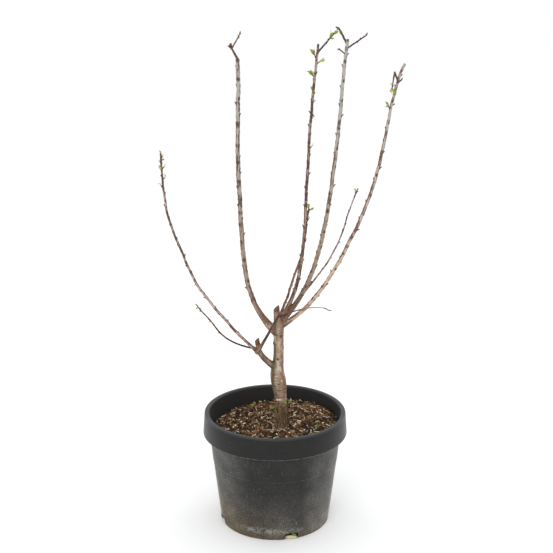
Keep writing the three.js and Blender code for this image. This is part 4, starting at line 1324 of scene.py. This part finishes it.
def twig_rods(carrier, at, turn, lift, length, foot, tip, leaves=(), cut=False, twigs=()):
    """A twig with the twigs that branch from it, and a note of each leaf and bud that it bears."""
    start, way = carrier(at), heading(turn, lift)
    path = straight(start, way, length)

    def radius(share, around):
        here = Vector((math.cos(around), math.sin(around), share * length / 3))
        thick = foot + (tip - foot) * share + 0.5 * math.exp(-share * length / 1.6)
        return thick * twig_fullness * mm * (1 + 0.14 * noise.noise(here + start * 40))
    guide = (0, 1, 0) if abs(way.y) < 0.9 else (1, 0, 0)
    rods = [rod(path, radius, 8, max(4, round(length / 1.6)), guide)]
    bear_leaves(path, leaves)
    for number in range(int(length / twig_bud_spacing)):
        share = (number + 0.8) * twig_bud_spacing / length
        out = way.cross(heading(number * golden_angle + turn, 20)).normalized()
        if share < 0.95:
            twig_bud_places.append((path(share) + out * tip * 0.8 * mm, out, way, twig_bud_length))
    if not cut and all(leaf[0] < 1 for leaf in leaves):
        outer = way.cross(Vector(guide)).normalized()
        bud_here = min(tip_bud_length * tip, 0.36 * length + 1)
        twig_bud_places.append((path(1) - way * 1.5 * mm, outer, way, bud_here))
    for twig in twigs:
        rods += twig_rods(path, *twig)
    return rods


twig_bark = shoot_bark("crown_twig_bark", *twig_skin)
for name, (limb, twigs) in crown_twigs.items():
    carrier = limb_path(limbs[limb])
    crown = joined([made for twig in twigs for made in twig_rods(carrier, *twig)], name + "_wood")
    coat(crown, twig_bark)
    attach(crown, "root")
    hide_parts(name)

# The weak twig ends in a bent tip of its own bark, and the low twig's buds break along it
tip = joined(twig_rods(limb_path(limbs["weak_twig"]), *weak_twig_tip), "weak_twig_tip")
coat(tip, bpy.data.materials["weak_twig_bark"])
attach(tip, "root")
bear_leaves(limb_path(limbs["low_twig"]), low_twig_leaves)


# Buds
# Closed winter buds: pointed, close to the wood, of overlapping dark brown scales, each on
# the cushion that last year's leaf has left. One is modelled, and copied to every node.
bud_width = 2.6
bud_growth = 1.2
bud_lean = math.radians(36)
twig_bud_girth = 0.27


def bud_model():
    """A sphere drawn out to a point, with a low cushion under its outer side."""
    select_only()
    bpy.ops.mesh.primitive_uv_sphere_add(segments=7, ring_count=6, radius=1)
    model = bpy.context.object
    for vertex in model.data.vertices:
        up = (vertex.co.z + 1) / 2
        slim = 1 - 0.55 * up ** 1.6
        vertex.co.x *= slim
        vertex.co.y = vertex.co.y * slim - 0.18 * up ** 2
        vertex.co.z = up
        if up < 0.35:
            vertex.co.y *= 1.35
            vertex.co.x *= 1.15
    bpy.ops.object.shade_smooth()
    return model


def bud_scales():
    # Waxy bud scales: dark purple-brown with a dull gloss, mottled paler
    material, add = new_material("plum_bud_scales")
    place = add("TexCoord", output="Object")
    mottle = add("TexNoise", [place, 700, 3])
    colour = add("Mix", [mottle, "#33231d", "#7a5746"], data_type="RGBA")
    scales = add("BsdfPrincipled", {"Base Color": colour, "Roughness": 0.55})
    add("OutputMaterial", [scales])
    return material


def standing(base, out, way):
    """A frame at the base with Z along the way and -Y turned to the outer side."""
    across = way.cross(out).normalized()
    outer = across.cross(way).normalized()
    turned = Matrix((across, -outer, way)).transposed()
    if turned.determinant() < 0:
        turned = Matrix((-across, -outer, way)).transposed()
    return Matrix.Translation(base) @ turned.to_4x4()


def copied(model, place, size):
    """A copy with its own mesh. The place turns and moves it, and the size scales it first."""
    made = mesh_copy(model.name, model.data)
    made.data.transform(place @ Matrix.Diagonal((*size, 1)))
    return made


bud = bud_model()
buds = []
for name, places in limb_buds.items():
    limb = limbs[name]
    slim = min(1, 0.55 + 0.45 * limb_radius(limb, 0.6) / (3 * mm))
    for share, turn, length in places:
        base, out, along = bud_frame(limb, share, turn, 0.5 * bud_width)
        way = (along * math.cos(bud_lean) + out * math.sin(bud_lean)).normalized()
        size = Vector((bud_width / 2, bud_width / 2, length)) * slim * bud_growth * mm
        buds.append(copied(bud, standing(base, out, way), size))
for base, out, way, length in twig_bud_places:
    lean = (way + out * 0.4).normalized()
    size = Vector((twig_bud_girth * length, twig_bud_girth * length, length)) * mm
    buds.append(copied(bud, standing(base, out, lean), size))
for base, way, length, width in leaf_places:
    out = way.cross(Vector((0.3, 1, 0.2))).normalized()
    size = Vector((width * 0.36, width * 0.36, length * 0.42)) * mm
    buds.append(copied(bud, standing(base - way * 0.8 * mm, out, way), size))
bpy.data.objects.remove(bud)
all_buds = joined(buds, "winter_buds")
coat(all_buds, bud_scales())
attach(all_buds, "root")


# Opening leaves
# The first leaves at the tips, just out of their buds: folded along the midrib, a few to a
# bud, fresh green and yellow where they are newest. One blade is modelled and copied; each
# bud's spray is dealt one of the two greens.
blade_length = 10
blade_width = 4
blade_thickness = 0.22 * mm
blade_fullness = 1.55
yellow_share = 0.4
short_leaf = 8
# A spray's first leaf stands up and is the longest, and the others lean out and vary
first_lean, other_leans = 0.08, (0.16, 0.34)
first_growth, other_growths = 1.15, (0.75, 1.1)
leaf_greens = {"opening_leaves_green": "#8a992e", "opening_leaves_yellow": "#b4b544"}


def blade_model():
    """A grid, drawn to a blunt oval, folded along its midrib and thickened."""
    select_only()
    bpy.ops.mesh.primitive_grid_add(x_subdivisions=2, y_subdivisions=6, size=1)
    model = bpy.context.object
    for vertex in model.data.vertices:
        side, share = vertex.co.x * 2, vertex.co.y + 0.5
        half = blade_width / 2 * (0.2 + 0.8 * math.sin(math.pi * share ** 1.1) ** 0.75) * (1 - share ** 9)
        fold = 0.36 - 0.16 * share
        curl = side * side * half * -fold + blade_length * 0.12 * share ** 2
        vertex.co = Vector((side * half * 0.9, curl, share * blade_length)) * mm
    apply_modifier(model, "SOLIDIFY", thickness=blade_thickness, offset=0)
    bpy.ops.object.shade_smooth()
    return model


def young_leaf(name, green):
    # Tender leaf tissue: soft and a little shiny, with light coming through it
    material, add = new_material(name)
    place = add("TexCoord", output="Object")
    mottle = add("TexNoise", [place, 500, 2])
    tone = add("MapRange", [mottle, 0, 1, 0.8, 1.2])
    colour = add("HueSaturation", {"Color": green, "Value": tone})
    leaf = add("BsdfPrincipled", {
        "Base Color": colour, "Roughness": 0.45, "Subsurface Weight": 0.15,
        "Subsurface Scale": 1 * mm,
    })
    add("OutputMaterial", [leaf])
    return material


blade = blade_model()
deal = seeded_draw(31)
sprays = {name: [] for name in leaf_greens}
for base, way, length, width in leaf_places:
    kind = "opening_leaves_yellow" if deal(0, 1) < yellow_share else "opening_leaves_green"
    out = way.cross(Vector((0.2, 0.9, 0.3))).normalized()
    broad = width * blade_fullness / blade_width
    count = 2 if length < short_leaf else 3
    for leaf in range(count):
        around = Matrix.Rotation(math.tau * leaf / count + deal(-0.4, 0.4), 3, way) @ out
        spread = first_lean if leaf == 0 else deal(*other_leans)
        grown = length * (first_growth if leaf == 0 else deal(*other_growths))
        lean = (way * math.cos(spread) + around * math.sin(spread)).normalized()
        size = (broad, broad, grown / blade_length)
        sprays[kind].append(copied(blade, standing(base, -around, lean), size))
bpy.data.objects.remove(blade)
for name, leaves in sprays.items():
    green = joined(leaves, name)
    coat(green, young_leaf(name, leaf_greens[name]))
    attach(green, "root")
